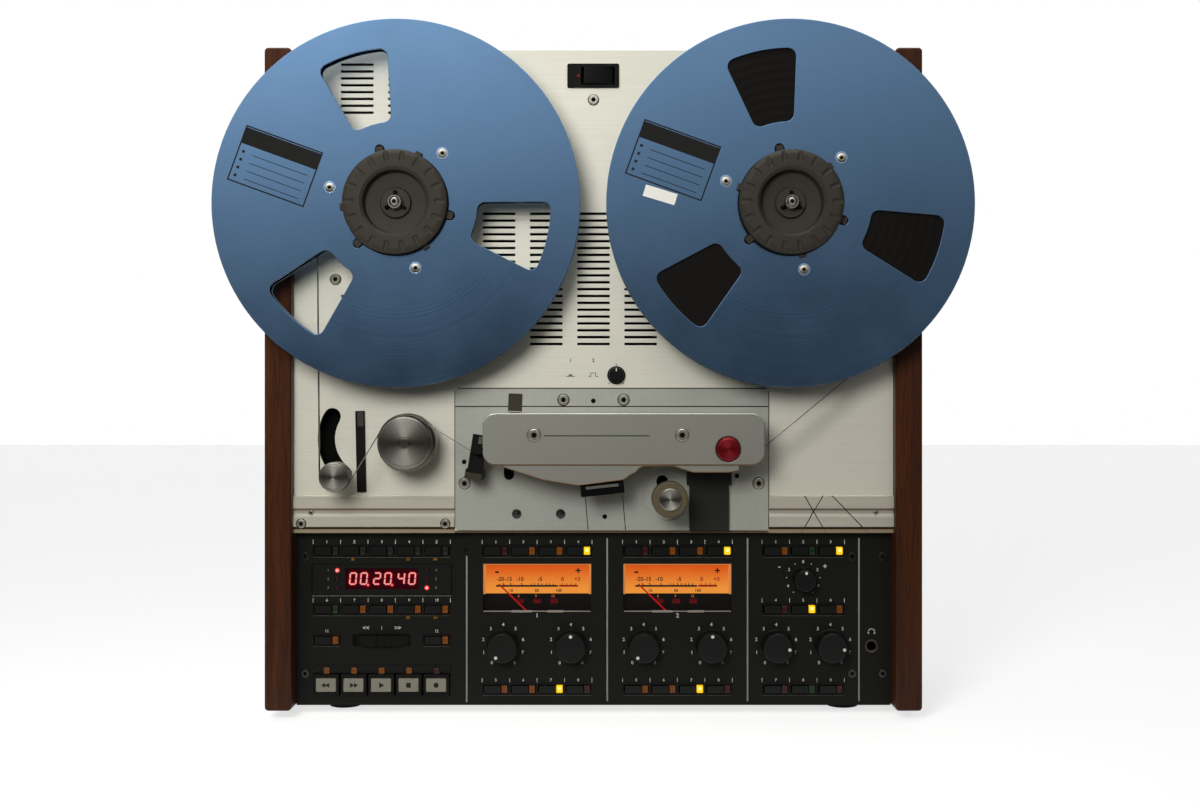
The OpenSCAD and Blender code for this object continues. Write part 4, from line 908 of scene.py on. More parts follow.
class TAPEDECK_OT_cabinet(bpy.types.Operator):
    """Side boards, chassis, rear cover and feet"""

    bl_idname = "tapedeck.cabinet"
    bl_label = "Cabinet"

    def execute(self, context):
        for node in ("side_panel_left", "side_panel_right"):
            eased(node, sizes().board_edge / MM, "walnut", segments=4)
        chassis = eased("chassis", 0.3, "zinc_steel")
        # the sub-plate behind the vents is painted matt black: painted shade of the inside seen through the vents
        paint_faces(chassis, "matt_black", lambda middle, normal: depth_of(middle.y) > SUB_PLATE_D)
        dress("rear_cover", "rear_paint")
        eased("feet", 0.8, "foot_rubber")
        return DONE


class TAPEDECK_OT_inside(bpy.types.Operator):
    """Motors, bearings, transformer and circuit cards behind the deck"""

    bl_idname = "tapedeck.inside"
    bl_label = "Inside"

    def execute(self, context):
        for node, finish_name in (("drive_motors", "motor_grey"), ("spindle_bearings", "brass"),
                                  ("power_transformer", "core_steel"), ("circuit_cards", "card_green")):
            dress(node, finish_name)
        return DONE


SOCKET_MAX = 26 * MM
SOCKET_PIN = [(0, 4), (1.0, 4.5), (1.2, 6), (1.2, 18), (0, 18)]
REAR_SCREW = [(0, -1.6), (1.6, -1.6), (3.2, -1.0), (3.6, 0), (0, 0)]
REAR_SCREW_IN = 12


class TAPEDECK_OT_rear(bpy.types.Operator):
    """Sockets at the back with their pins, and the screws of the rear cover"""

    bl_idname = "tapedeck.rear"
    bl_label = "Back"

    def execute(self, context):
        eased("rear_connectors", 0.3, "black_plastic")
        low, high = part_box("rear_cover")
        back = depth_of(high.y)
        round_sockets, others = [], []
        for corner, far_corner in islands("rear_connectors"):
            size = far_corner - corner
            kind = round_sockets if max(size.x, size.z) < SOCKET_MAX else others
            kind.append(middle_of(corner, far_corner))
        with piece("socket_pins", "cabinet", "brass"):
            for x, z in round_sockets:
                for turn in (90, 210, 330):
                    add_turned(*around(x, z, 5, turn), SOCKET_PIN, 16, base=back)
            x, z = max(others)
            for dx, dz in ((-6, 6), (6, 6), (0, 11)):
                block(2, 14, 4, x + dx, back + 11, z + dz, 0.4)
        with piece("rear_screws", "cabinet", "bright_steel"):
            for x in (low.x / MM + REAR_SCREW_IN, 0, high.x / MM - REAR_SCREW_IN):
                for z in (low.z / MM + REAR_SCREW_IN, high.z / MM - REAR_SCREW_IN):
                    add_turned(x, z, REAR_SCREW, 24, base=back)
        return DONE


# Deck

# Bars of the two signs beside the volume knob, from its axis: x, z, width, height
VOLUME_SIGNS = ((-34.4, -0.9, 6.4, 0.45), (-34.4, 0.1, 2.8, 1.0), (-20, -0.9, 2, 0.45),
                (-14.6, -0.9, 2, 0.45), (-19.1, 0.4, 0.45, 3), (-15.5, 0.4, 0.45, 3), (-17.3, 1.7, 4, 0.45))
SWITCH_MARK = [(0, 1.6), (1.1, 1.6), (1.0, 1.75), (0, 1.8)]
# Painted light and shade of the rail's groove by the slopes of its faces, from its upper wall to its foot: painted
# shade above, painted light at the foot
GROOVE_LIGHT_AND_SHADE = (("groove_top", -0.98, -0.3), ("groove_mid", -0.3, 0.12), ("groove_foot", 0.12, 0.98))
# Heights above the foot of the rails
GROOVE_LOW, GROOVE_HIGH = 12, 18.5
GAP_LOW, GAP_HIGH = 2.5, 4.8
LIP_HIGH = 2.8


class TAPEDECK_OT_deck(bpy.types.Operator):
    """Deck plate, splicing rails, power switch and volume knob"""

    bl_idname = "tapedeck.deck"
    bl_label = "Deck"

    def execute(self, context):
        dress("deck_plate", "deck_alloy")
        self.finish_rails()
        eased("power_switch_bezel", 0.4, "black_plastic")
        eased("power_rocker", 0.5, "gloss_black")
        eased("volume_knob", 0.4, "black_plastic")
        low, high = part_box("power_switch_bezel")
        with piece("switch_mark", "cabinet", "cue_red", "mark_red"):
            add_turned(low.x / MM + 8.5, middle_of(low, high)[1], SWITCH_MARK, 20)
        with piece("deck_lower_edge", "cabinet", "deck_alloy", "edge_brown"):
            block((DECK_HIGH.x - DECK_LOW.x) / MM - 2, 0.4, 1.3, 0, 0.2, DECK_LOW.z / MM + 0.75)
        x, z = axis_of("volume_turn")
        bars = [(x + dx, z + dz, width, height) for dx, dz, width, height in VOLUME_SIGNS]
        bars += [(*around(x, z, 8, turn), 0.9, 0.9) for turn in (90, 230, 310)]
        words = [("1", x - 34.4, z + 11, 3.6), ("2", x - 17.2, z + 11, 3.6)]
        written("deck_print", "cabinet", "black_print", 0, words, bars)
        with piece("volume_dot", "volume_knob", "cap_grey", "white_print"):
            flat_mark(front_of("volume_knob"), x, z + 4, 0.8, 2.4)
        return DONE

    def finish_rails(self):
        """The rails, with painted light and shade in their groove, painted shade in the gap under their lower land
        and in the blade cuts, and the lip below it.
        """
        low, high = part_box("splicing_rails")
        face = front_of("splicing_rails")
        rails = eased("splicing_rails", 0.2, "rail_alloy", 1, lambda middle: middle.z > high.z - 0.2 * MM)

        def above_foot(middle):
            return (middle.z - low.z) / MM

        # painted shade and light on the groove's faces, by the way each one faces
        for name, low_slope, high_slope in GROOVE_LIGHT_AND_SHADE:
            paint_faces(rails, name, lambda middle, normal: GROOVE_LOW < above_foot(middle) < GROOVE_HIGH
                        and depth_of(middle.y) < face - 0.05 and low_slope < normal.z < high_slope
                        and abs(normal.x) < 0.1)
        paint_faces(rails, "rail_lip", lambda middle, normal: above_foot(middle) < LIP_HIGH and normal.y < -0.9)
        # the narrow gap is painted dark brown: painted shade with a painted brown reflection
        paint_faces(rails, "gap_brown", lambda middle, normal: GAP_LOW < above_foot(middle) < GAP_HIGH
                    and depth_of(middle.y) < face - 0.5)
        # the walls and floors of the blade cuts and bores are painted matt black: painted shade in the recesses
        paint_faces(rails, "matt_black", lambda middle, normal: 0.3 < abs(normal.x) < 0.95
                    or (above_foot(middle) > GAP_HIGH and depth_of(middle.y) < 1.3 and normal.y < -0.9))


class TAPEDECK_OT_screws(bpy.types.Operator):
    """Socket screws of the deck and black screws of the panel"""

    bl_idname = "tapedeck.screws"
    bl_label = "Screws"

    def execute(self, context):
        heads = [((low + high) / 2, (high.x - low.x) / 2, low.y, high.y)
                 for low, high in islands("front_screws")]

        def off_axis(point, head):
            return math.hypot(point.x - head.x, point.z - head.z)

        def on_rim(middle):
            return any(abs(off_axis(middle, head) / radius - 1) < 0.1 and abs(middle.y - front) < 1e-5
                       for head, radius, front, _ in heads)

        def in_socket(middle, normal):
            return any(off_axis(middle, head) < 0.6 * radius and middle.y > front + 0.4 * MM
                       for head, radius, front, _ in heads)

        screws = eased("front_screws", 0.7, "screw_steel", 4, on_rim)
        paint_faces(screws, "screw_black", lambda middle, normal: middle.z < PANEL_HIGH.z)
        # the sockets of the screw heads are painted matt black: painted shade in the recesses
        paint_faces(screws, "matt_black", in_socket)
        with piece("screw_seats", "cabinet", "bright_steel", "zinc_steel"):
            for head, radius, front, _ in heads:
                if depth_of(front) > COVER_FRONT:
                    r = radius / MM
                    add_turned(head.x / MM, head.z / MM, [(r + 0.1, 0), (r + 1.0, 0), (r + 0.7, 0.25),
                                                          (r + 0.1, 0.1)], 32, True, COVER_FRONT)
        # dark rings round the screw heads: painted shade in the gaps round them
        with piece("screw_gaps", "cabinet", "black_plastic", "seam_dark"):
            for head, radius, _, back in heads:
                r = radius / MM
                if head.z - radius > PANEL_HIGH.z and r > 2.5 and depth_of(back) < COVER_FRONT - 1:
                    add_turned(head.x / MM, head.z / MM, [(r + 0.05, 0), (r + 0.75, 0), (r + 0.65, 0.12),
                                                          (r + 0.05, 0.12)], 32, True, depth_of(back))
        return DONE


# Reels

REEL_SCREW_R = 49.2
WINDOW_TURN = {"supply": 106.8, "takeup": 101.5}
# Pieces of a reel's screws: name, slot, finish, outline from the reel's face, steps, whether it is a ring
REEL_SCREWS = (
    # the seats round the screws take the paler blue of the reel's edges: a painted highlight
    ("reel_screw_seats", "bright_steel", "reel_edge", [(3.0, 0), (4.5, 0), (4.2, 0.12), (3.0, 0.05)], 28, True),
    ("reel_screws", "bright_steel", "screw_steel",
     [(0, 0), (3.3, 0), (3.2, 0.2), (2.3, 0.42), (1.7, 0.42), (1.4, 0.1), (0, 0.1)], 28, False),
    # a black disc in each socket: painted shade in the recess
    ("reel_screw_sockets", "black_plastic", "matt_black",
     [(0, 0.08), (1.35, 0.08), (1.3, 0.14), (0, 0.14)], 12, False),
)
HUB_R = 57.0
PACK_RIDGES = 44


class TAPEDECK_OT_reels(bpy.types.Operator):
    """Blue reels with their countersunk screws, turntables and the wound tape"""

    bl_idname = "tapedeck.reels"
    bl_label = "Reels"

    def execute(self, context):
        for side, x in HUBS.items():
            reel = eased(f"{side}_reel", 0.35, f"reel_blue_{side}")
            # the edges of the windows and the rim are painted a paler blue: a painted highlight on the reel's
            # edges
            paint_faces(reel, "reel_edge", lambda middle, normal: abs(normal.y) < 0.9)
            eased(f"{side}_turntable", 0.4, "bright_steel")
            places = [around(x, HUB_Z, REEL_SCREW_R, WINDOW_TURN[side] + 60 + 120 * k) for k in range(3)]
            for name, slot, finish_name, *turned in REEL_SCREWS:
                with piece(f"{side}_{name}", side, slot, finish_name):
                    for spot in places:
                        add_turned(*spot, *turned, REEL_FRONT)
        self.wind_tape()
        return DONE

    def wind_tape(self):
        """The full pack on one reel, with uneven turns, and the last turns on the other."""
        low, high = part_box("takeup_tape_pack")
        outer = (high.x - low.x) / 2 / MM
        back, front = depth_of(high.y), depth_of(low.y)
        outline = [(HUB_R, back), (outer, back), (outer, front - 0.1)]
        for k in range(PACK_RIDGES, 0, -1):
            lift = 0.16 * math.sin(k * 2.1) * math.sin(k * 0.7 + 1)
            outline.append((HUB_R + (outer - HUB_R) * k / (PACK_RIDGES + 1), front - 0.16 + lift))
        outline.append((HUB_R, front - 0.1))
        with piece("wound_tape", "takeup", "tape_brown", "wound_tape", ("takeup_tape_pack",)):
            add_turned(TAKEUP_X, HUB_Z, outline, 128, True)
        with piece("supply_turns", "supply", "tape_brown", "tape_coat"):
            add_turned(SUPPLY_X, HUB_Z, [
                (HUB_R + 0.02, back + 0.05), (HUB_R + 0.5, back), (HUB_R + 0.6, back + 0.2),
                (HUB_R + 0.6, front - 0.2), (HUB_R + 0.5, front), (HUB_R + 0.02, front - 0.05)], 128, True)


LABEL_LEAN = 20
LABELS = (("supply", -230.0, 408.8), ("takeup", 57.7, 413.1))
STICKER = (24, 0.16, 8.4, 48.4, REEL_FRONT + 0.08, 387.9, 0.05, 17)


class TAPEDECK_OT_reel_labels(bpy.types.Operator):
    """Ruled labels and a blank sticker on the reels"""

    bl_idname = "tapedeck.reel_labels"
    bl_label = "Reel labels"

    def execute(self, context):
        width, height = sizes().label_w / MM, sizes().label_h / MM
        bars = [(0, dz, width, 1) for dz in (-height / 2, height / 2)]
        bars += [(dx, 0, 1, height + 1) for dx in (-width / 2, width / 2)]
        bars.append((0, height / 2 - 7, width - 1, 12))
        for k in range(4):
            bars.append((3, height / 2 - 19 - 6 * k, width - 16, 0.5))
            bars.append((4 - width / 2, height / 2 - 18.4 - 6 * k, 2, 2))
        cos, sin = (turned(math.radians(-LABEL_LEAN)) for turned in (math.cos, math.sin))
        for side, x, z in LABELS:
            written(f"{side}_label", side, "black_print", REEL_FRONT,
                    bars=[(x + dx * cos - dz * sin, z + dx * sin + dz * cos, wide, high, LABEL_LEAN)
                          for dx, dz, wide, high in bars])
        with piece("blank_sticker", "takeup", "cap_grey", "sticker_paper"):
            block(*STICKER)
        return DONE


GRIP_GROOVES = 18
ADAPTER_R = 37.6
ADAPTER_BOSS = -9
SPINDLE_TIP = [(4.0, 0), (5.4, 0), (5.2, 6.6), (4.6, 7.4), (4.0, 7.4)]
SPINDLE_HOLE = [(0, 8.2), (1.5, 8.2), (1.5, 8.5), (0, 8.5)]


class TAPEDECK_OT_adapters(bpy.types.Operator):
    """Hub adapters with the wings and tips of the spindles"""

    bl_idname = "tapedeck.adapters"
    bl_label = "Hub adapters"

    def execute(self, context):
        for side, x in HUBS.items():
            front = front_of(f"{side}_hub_adapter")
            boss = front + ADAPTER_BOSS
            body = eased(f"{side}_hub_adapter", 0.6, "adapter_plastic")
            self.add_grip_ring(side, x, front, body)
            with piece(f"{side}_spindle_tip", side, "bright_steel"):
                add_turned(x, HUB_Z, SPINDLE_TIP, 40, True, boss)
            with piece(f"{side}_spindle_wings", side, "black_plastic", "matt_black"):
                for turn in (0, 120, 240):
                    wing_x, wing_z = around(x, HUB_Z, 6.2, 90 + turn)
                    block(2, 5, 4.6, wing_x, boss + 2.5, wing_z, 0.4, -turn)
            # a thin black disc in the tip: painted shade standing for its hole
            with piece(f"{side}_spindle_hole", side, "black_plastic", "matt_black"):
                add_turned(x, HUB_Z, SPINDLE_HOLE, 20, base=boss)
        return DONE

    def add_grip_ring(self, side, x, front, body):
        """The face of the adapter, with rounded finger grooves cut in from its rim."""
        grooves = begin(f"{side}_adapter_grooves")
        for k in range(GRIP_GROOVES):
            angle = k * 360 / GRIP_GROOVES
            groove_x, groove_z = around(x, HUB_Z, ADAPTER_R - 2.5, angle)
            block(13, 3, 3.8, groove_x, front + 0.4, groove_z, 1.3, -angle, 3)
        mode("OBJECT")
        inner, outer = ADAPTER_R - 11.2, ADAPTER_R + 2
        self.cut_away(body, self.turned_ring(f"{side}_adapter_seat", x, front, [
            (inner, -2), (outer, -2), (outer, 1), (inner, 1)]))
        inner, rim = ADAPTER_R - 11.5, ADAPTER_R + 0.05
        ring = self.turned_ring(f"{side}_adapter_face", x, front, [
            (inner, -2.4), (rim, -3.2), (rim, -2.4), (rim - 0.8, -1.3), (rim - 2.6, -0.3), (rim - 4, 0.06),
            (inner, 0.06)])
        self.cut_away(ring, grooves)
        end(ring, side, "adapter_plastic")

    def turned_ring(self, name, x, front, outline):
        made = begin(name)
        add_turned(x, HUB_Z, outline, 120, True, front)
        turn_outward()
        mode("OBJECT")
        return made

    def cut_away(self, made, cutter):
        """Takes one shape out of another, and deletes it."""
        bpy.context.view_layer.objects.active = made
        cut = made.modifiers.new("cut", "BOOLEAN")
        cut.operation = "DIFFERENCE"
        cut.solver = "EXACT"
        cut.object = cutter
        bpy.ops.object.modifier_apply(modifier=cut.name)
        bpy.data.objects.remove(cutter)


# Tape

TAPE_CLEAR = 0.35
TAPE_T = 0.05
# Guides and heads that the tape passes: x, z, radius, turn
TAPE_GUIDES = ((-83.5, 203.2, 3, 1), (-46, 201, 11, 1), (30, 201, 11, 1), (117.5, 204.3, 3, 1))


def tape_stops():
    """What the tape passes: x, z, radius, and 1 where it turns left or -1 where it turns right."""
    low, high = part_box("takeup_tape_pack")
    pack_r = (high.x - low.x) / 2 / MM
    return [(SUPPLY_X, HUB_Z, HUB_R + 0.4, 1), (*axis_of("tension_roller_spin"), 10.8, 1),
            (*axis_of("guide_roller_spin"), 19.6, -1), *TAPE_GUIDES, (TAKEUP_X, HUB_Z, pack_r, 1)]


def heading(stops, k):
    """Direction of the straight stretch after stop k, in radians."""
    x0, z0, r0, turn0 = stops[k]
    x1, z1, r1, turn1 = stops[k + 1]
    gap = turn1 * (r1 + TAPE_CLEAR) - turn0 * (r0 + TAPE_CLEAR)
    return math.atan2(z1 - z0, x1 - x0) - math.asin(gap / math.hypot(x1 - x0, z1 - z0))


def beside(stop, angle):
    """The tape's point on a stop where it heads that way."""
    x, z, radius, turn = stop
    reach = turn * (radius + TAPE_CLEAR)
    return x + reach * math.sin(angle), z - reach * math.cos(angle)


def wrap(stops, k, steps=14):
    """The tape's points round stop k."""
    first, last = heading(stops, k - 1), heading(stops, k)
    return [beside(stops[k], first + (last - first) * i / steps) for i in range(steps + 1)]


def divided(start, stop, steps=24):
    return [tuple(a + (b - a) * i / steps for a, b in zip(start, stop)) for i in range(steps + 1)]


def on_tape(point, across=0.0):
    return place(point[0], TAPE_PLANE + across, point[1])


class TAPEDECK_OT_tape(bpy.types.Operator):
    """The tape from the supply reel past the rollers and heads to the take-up reel"""

    bl_idname = "tapedeck.tape"
    bl_label = "Tape"

    def execute(self, context):
        stops = tape_stops()
        on_roller = wrap(stops, 1)
        on_guide = wrap(stops, 2)
        down = divided(beside(stops[0], heading(stops, 0)), on_roller[0])
        first = self.ribbon("tape_to_tension_roller", down)
        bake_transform(first)
        around_roller = self.ribbon("tape_on_tension_roller", on_roller)
        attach(around_roller, "tension_arm")
        second = self.ribbon("tape_to_guide_roller", divided(on_roller[-1], on_guide[0]))
        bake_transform(second)
        rest = list(on_guide)
        for k in range(3, len(stops) - 1):
            rest += wrap(stops, k)
        rest.append(beside(stops[-1], heading(stops, len(stops) - 2)))
        last = self.ribbon("tape_to_takeup_reel", rest)
        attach(last, "cabinet")
        for made in (first, around_roller, second, last):
            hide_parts("tape_spans")
        return DONE

    def ribbon(self, name, points):
        """A ribbon of tape: one edge drawn along the points, extruded to the tape's width and thickened."""
        made = begin(name)
        draw_line(made, [on_tape(point, -TAPE_W / 2) for point in points])
        bpy.ops.mesh.extrude_region_move(TRANSFORM_OT_translate={"value": (0, -TAPE_W * MM, 0)})
        turn_outward()
        mode("OBJECT")
        thick = made.modifiers.new("thickness", "SOLIDIFY")
        thick.thickness = TAPE_T * MM
        thick.offset = 0
        bpy.ops.object.modifier_apply(modifier=thick.name)
        bpy.ops.object.shade_smooth_by_angle(angle=math.radians(40))
        made.data.materials.append(FINISHES["tape_coat"])
        return made


# Caps on the rollers: name, roller, finish, outline from the roller's front
ROLLER_CAPS = (
    ("tension_roller_cap", "tension_roller", "turned_tension_roller_spin",
     [(0, 0), (8.6, 0), (8.8, 0.4), (8.4, 0.9), (1.6, 1.0), (1.2, 0.6), (0, 0.6)]),
    ("guide_roller_cap", "guide_roller", "turned_guide_roller_spin",
     [(0, 0), (16.6, 0), (16.8, 0.3), (16.2, 0.6), (4.6, 0.7), (4.2, 0.4), (0, 0.4)]),
    ("guide_roller_screw", "guide_roller", "dark_steel",
     [(0, 0.3), (3.4, 0.3), (3.4, 1.2), (2.9, 1.7), (1.7, 1.7), (1.6, 0.8), (0, 0.8)]),
    ("pinch_roller_cap", "pinch_roller", "turned_pinch_roller_spin",
     [(0, -0.4), (7.9, -0.4), (8.1, 0.6), (7.4, 1.2), (6.6, 1.2), (6.0, 0.8), (0, 0.7)]),
)
GUIDE_FRONT = TAPE_PLANE - 5
# Small plates along the tape and on the head block: name, slot, finish, and the values of the block
PLATES = (
    ("tape_guide_foot", "zinc_steel", "tab_brown", 12.4, 0.8, 4.8, -87.5, GUIDE_FRONT + 0.3, 183.9, 0.35, 9, 3),
    ("tape_guide_plug", "zinc_steel", "edge_grey", 4.4, 0.6, 5.2, -81.6, GUIDE_FRONT + 0.2, 210.0, 0.25, 9),
    ("sensor_window", "black_plastic", "window_grey", 4.4, 0.4, 11, -174.7, 2.1, 225.4, 0.15, -1.2),
    ("cover_tab", "zinc_steel", "tab_brown", 10.4, 1.0, 13.4, -58.6, HEAD_FACE + 0.5, 237.8, 0.3, 2),
    ("cover_tab_foot", "bright_steel", None, 9.6, 1.6, 0.9, -58.9, HEAD_FACE + 0.8, 230.9, 0.25, 2),
)
ARMS_AND_HEADS = (("tension_arm", 0.3, "bright_steel"), ("pinch_arm", 0.3, "zinc_steel"),
                  ("pinch_roller", 0.6, "rubber_ring"), ("tape_heads", 0.3, "bright_steel"),
                  ("capstan", 0.2, "turned_capstan_spin"))
# Where the pinch guard begins, and the middle height and sides of the two pads
APRON_X = 69 * MM
PAD_Z = 154.4 * MM
PAD_LEFT, PAD_RIGHT = -62 * MM, -20 * MM


class TAPEDECK_OT_rollers(bpy.types.Operator):
    """Rollers, their caps and arms, guides, heads and small plates along the tape"""

    bl_idname = "tapedeck.rollers"
    bl_label = "Rollers and guides"

    def execute(self, context):
        for roller, edge in (("tension_roller", 0.5), ("guide_roller", 0.6)):
            turned = eased(roller, edge, f"turned_{roller}_spin")
            face = front_of(roller)
            # the sides of the rollers behind their faces are painted darker: painted shade
            paint_faces(turned, "roller_side", lambda middle, normal: depth_of(middle.y) < face - 1)
        for node, edge, finish_name in ARMS_AND_HEADS:
            eased(node, edge, finish_name)
        guides = eased("tape_guides", 0.4, "black_plastic")
        paint_faces(guides, "apron_black", lambda middle, normal: middle.x > APRON_X and normal.y < -0.5)
        paint_faces(guides, "pad_rubber", lambda middle, normal: abs(middle.z - PAD_Z) < 4 * MM
                    and PAD_LEFT < middle.x < PAD_RIGHT)
        for name, slot, finish_name, *values in PLATES:
            with piece(name, "cabinet", slot, finish_name):
                block(*values)
        for name, roller, finish_name, outline in ROLLER_CAPS:
            with piece(name, roller, "turned_alloy", finish_name):
                add_turned(*axis_of(f"{roller}_spin"), outline, 64, base=front_of(roller))
        return DONE


# Head block

PLATE_HOLES = ((-0.1, 239.0), (-96.9, 193.3), (107.5, 182.8), (8.5, 152.3))
COVER_CHAMFER = 1.7
SKIRT_BACK = 2
COVER_LOW_Z = 193.2
COVER_LINE = (2.6, 213.9, 76.0, 0.7)
KEYHOLE_X, KEYHOLE_Z = -63.3, 183.6
SHIELD_BAR_Z = 177.2


class TAPEDECK_OT_head_block(bpy.types.Operator):
    """Head block plate, head cover, cue button, hum shield and their small pieces"""

    bl_idname = "tapedeck.head_block"
    bl_label = "Head block"

    def execute(self, context):
        plate = eased("head_block_plate", 0.35, "head_grey")
        pinch_x, pinch_z = axis_of("pinch_roller_spin")

        def in_groove(middle, normal):
            beside_roller = math.hypot(middle.x / MM - pinch_x, middle.z / MM - pinch_z) < 22
            return HEAD_FACE - 0.9 < depth_of(middle.y) < HEAD_FACE - 0.2 and not beside_roller

        def chamfer(facing):
            return lambda middle, normal: (depth_of(middle.y) > COVER_FRONT - COVER_CHAMFER - 0.05
                                           and -0.97 < normal.y < -0.2 and facing * normal.z > 0.15)

        # the faces in the plate's groove are painted dark: painted shade in the groove
        paint_faces(plate, "seam_dark", in_groove)
        cover_y = place(0, COVER_FRONT, 0).y
        cover = eased("head_cover", COVER_CHAMFER, "cover_paint", 3,
                      lambda middle: abs(middle.y - cover_y) < 1e-5)
        # the chamfers that face up are painted pale, a painted highlight, and those that face down are painted
        # brown, painted shade
        paint_faces(cover, "cover_edge", chamfer(1))
        paint_faces(cover, "edge_brown", chamfer(-1))
        self.trim_skirt(cover)
        self.outline_plate()
        eased("cue_button", 0.5, "button_red", 3)
        eased("hum_shield", 0.4, "gloss_black")
        # thin black discs and a pill on the plate's face: painted shade standing for holes
        with piece("head_block_holes", "cabinet", "black_plastic", "matt_black"):
            for x, z in PLATE_HOLES:
                add_turned(x, z, [(0, 0), (1.8, 0), (1.7, 0.05), (0, 0.05)], 20, base=HEAD_FACE)
            block(7.6, 0.3, 6, KEYHOLE_X, HEAD_FACE, KEYHOLE_Z + 2.8, 0.1)
            add_turned(KEYHOLE_X, KEYHOLE_Z, [(0, 0), (3.8, 0), (3.7, 0.15), (0, 0.15)], 32, base=HEAD_FACE)
        with piece("shield_bar", "hum_shield", "bright_steel", "zinc_steel"):
            bar_x, _ = middle_of(*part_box("hum_shield"))
            block(24, 1.2, 2.0, bar_x, front_of("hum_shield") + 0.5, SHIELD_BAR_Z, 0.5, -6, 3)
        with piece("cover_line", "cabinet", "black_plastic", "black_print"):
            flat_mark(COVER_FRONT, *COVER_LINE)
        return DONE

    def trim_skirt(self, cover):
        """A thin brown rim drawn along the lower edge of the screen under the cover: a painted highlight on that
        edge.
        """
        skirt_y = place(0, COVER_FRONT - SKIRT_BACK, 0).y
        made = begin("skirt_rim")
        bpy.ops.mesh.select_mode(type="EDGE")
        mesh = bmesh.from_edit_mesh(made.data)
        points = {}

        def point(vertex):
            key = tuple(round(c, 6) for c in vertex)
            if key not in points:
                points[key] = mesh.verts.new(vertex)
            return points[key]

        corners = cover.data.vertices
        for edge in cover.data.edges:
            first, second = (corners[i].co for i in edge.vertices)
            on_front = max(abs(first.y - skirt_y), abs(second.y - skirt_y)) < 2e-5
            if on_front and max(first.z, second.z) < COVER_LOW_Z * MM and (first - second).length > 1e-5:
                mesh.edges.new((point(first), point(second))).select_set(True)
        bmesh.update_edit_mesh(made.data)
        mode("OBJECT")
        bpy.ops.object.convert(target="CURVE")
        rim = bpy.context.object
        rim.data.bevel_depth = 0.4 * MM
        rim.data.bevel_resolution = 2
        rim.data.use_fill_caps = True
        bpy.ops.object.convert(target="MESH")
        end(bpy.context.object, "cabinet", "edge_brown")

    def outline_plate(self):
        """Dark bars on the deck round the head block plate: a line of painted shade at its edges."""
        low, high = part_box("head_block_plate")
        width, height = (high.x - low.x) / MM, (high.z - low.z) / MM
        x, z = middle_of(low, high)
        with piece("head_block_gasket", "cabinet", "black_plastic", "seam_dark"):
            for side in (-1, 1):
                block(0.9, 0.5, height - 3, x + side * (width / 2 + 0.4), 0.25, z)
            block(width - 3, 0.5, 0.9, x, 0.25, z + height / 2 + 0.4)


# Control panel

PANEL_TICK = 6.7
KEY_NODES = ("locator_keys", "channel_1_keys", "channel_2_keys", "output_keys")
KEY_SHIFT = 2.45
KEY_PITCH = 20.8
# Lines between the sections: x, lower and upper end
DIVIDERS = ((-96.1, 10.8, 121.5), (10.4, 11.5, 135), (116.7, 11.5, 135), (201.1, 11.5, 135))
TRANSPORT_LOW, TRANSPORT_HIGH = 15.6, 38.7
TRIMMER_X, TRIMMER_Z = -96.9, 126


def key_rows(node):
    """Rows of a key node: the height, and the middles of the keys with their lamps."""
    return [(height, [middle_of(*box)[0] + KEY_SHIFT for box in row]) for height, row in rows(islands(node))]


def surround(left, right, low, high, width, rise):
    """Four bars round an opening in the panel."""
    depth = PANEL_D + rise / 2
    for z in (low, high):
        block(right - left, rise, width, (left + right) / 2, depth, z)
    for x in (left, right):
        block(width, rise, high - low, x, depth, (low + high) / 2)


class TAPEDECK_OT_panel(bpy.types.Operator):
    """Control panel with the frames of its key rows and the dividers between its sections"""

    bl_idname = "tapedeck.control_panel"
    bl_label = "Control panel"

    def execute(self, context):
        dress("control_panel", "panel_black")
        edges = []
        with piece("key_row_frames", "cabinet", "panel_black", "gloss_black"):
            for node in KEY_NODES:
                for height, middles in key_rows(node):
                    groups = [middles] if len(middles) != 2 else [[x] for x in middles]
                    for group in groups:
                        left, right = group[0] - KEY_PITCH / 2 + 0.3, group[-1] + KEY_PITCH / 2 - 0.3
                        surround(left, right, height - 4.4, height + 4.4, 0.7, 0.5)
                        edges.append(((left + right) / 2, height - 5.0, right - left, 0.35))
            left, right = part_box("rewind_key")[0].x / MM - 1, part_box("record_key")[1].x / MM + 1
            surround(left, right, TRANSPORT_LOW, TRANSPORT_HIGH, 0.8, 0.6)
        with piece("key_row_edges", "cabinet", "panel_black", "edge_grey"):
            for edge in edges:
                flat_mark(PANEL_D, *edge)
        with piece("section_dividers", "cabinet", "panel_black", "divider_line"):
            for x, low, high in DIVIDERS:
                block(1.15, 0.2, high - low, x, PANEL_D + 0.1, (low + high) / 2, 0.08)
        return DONE


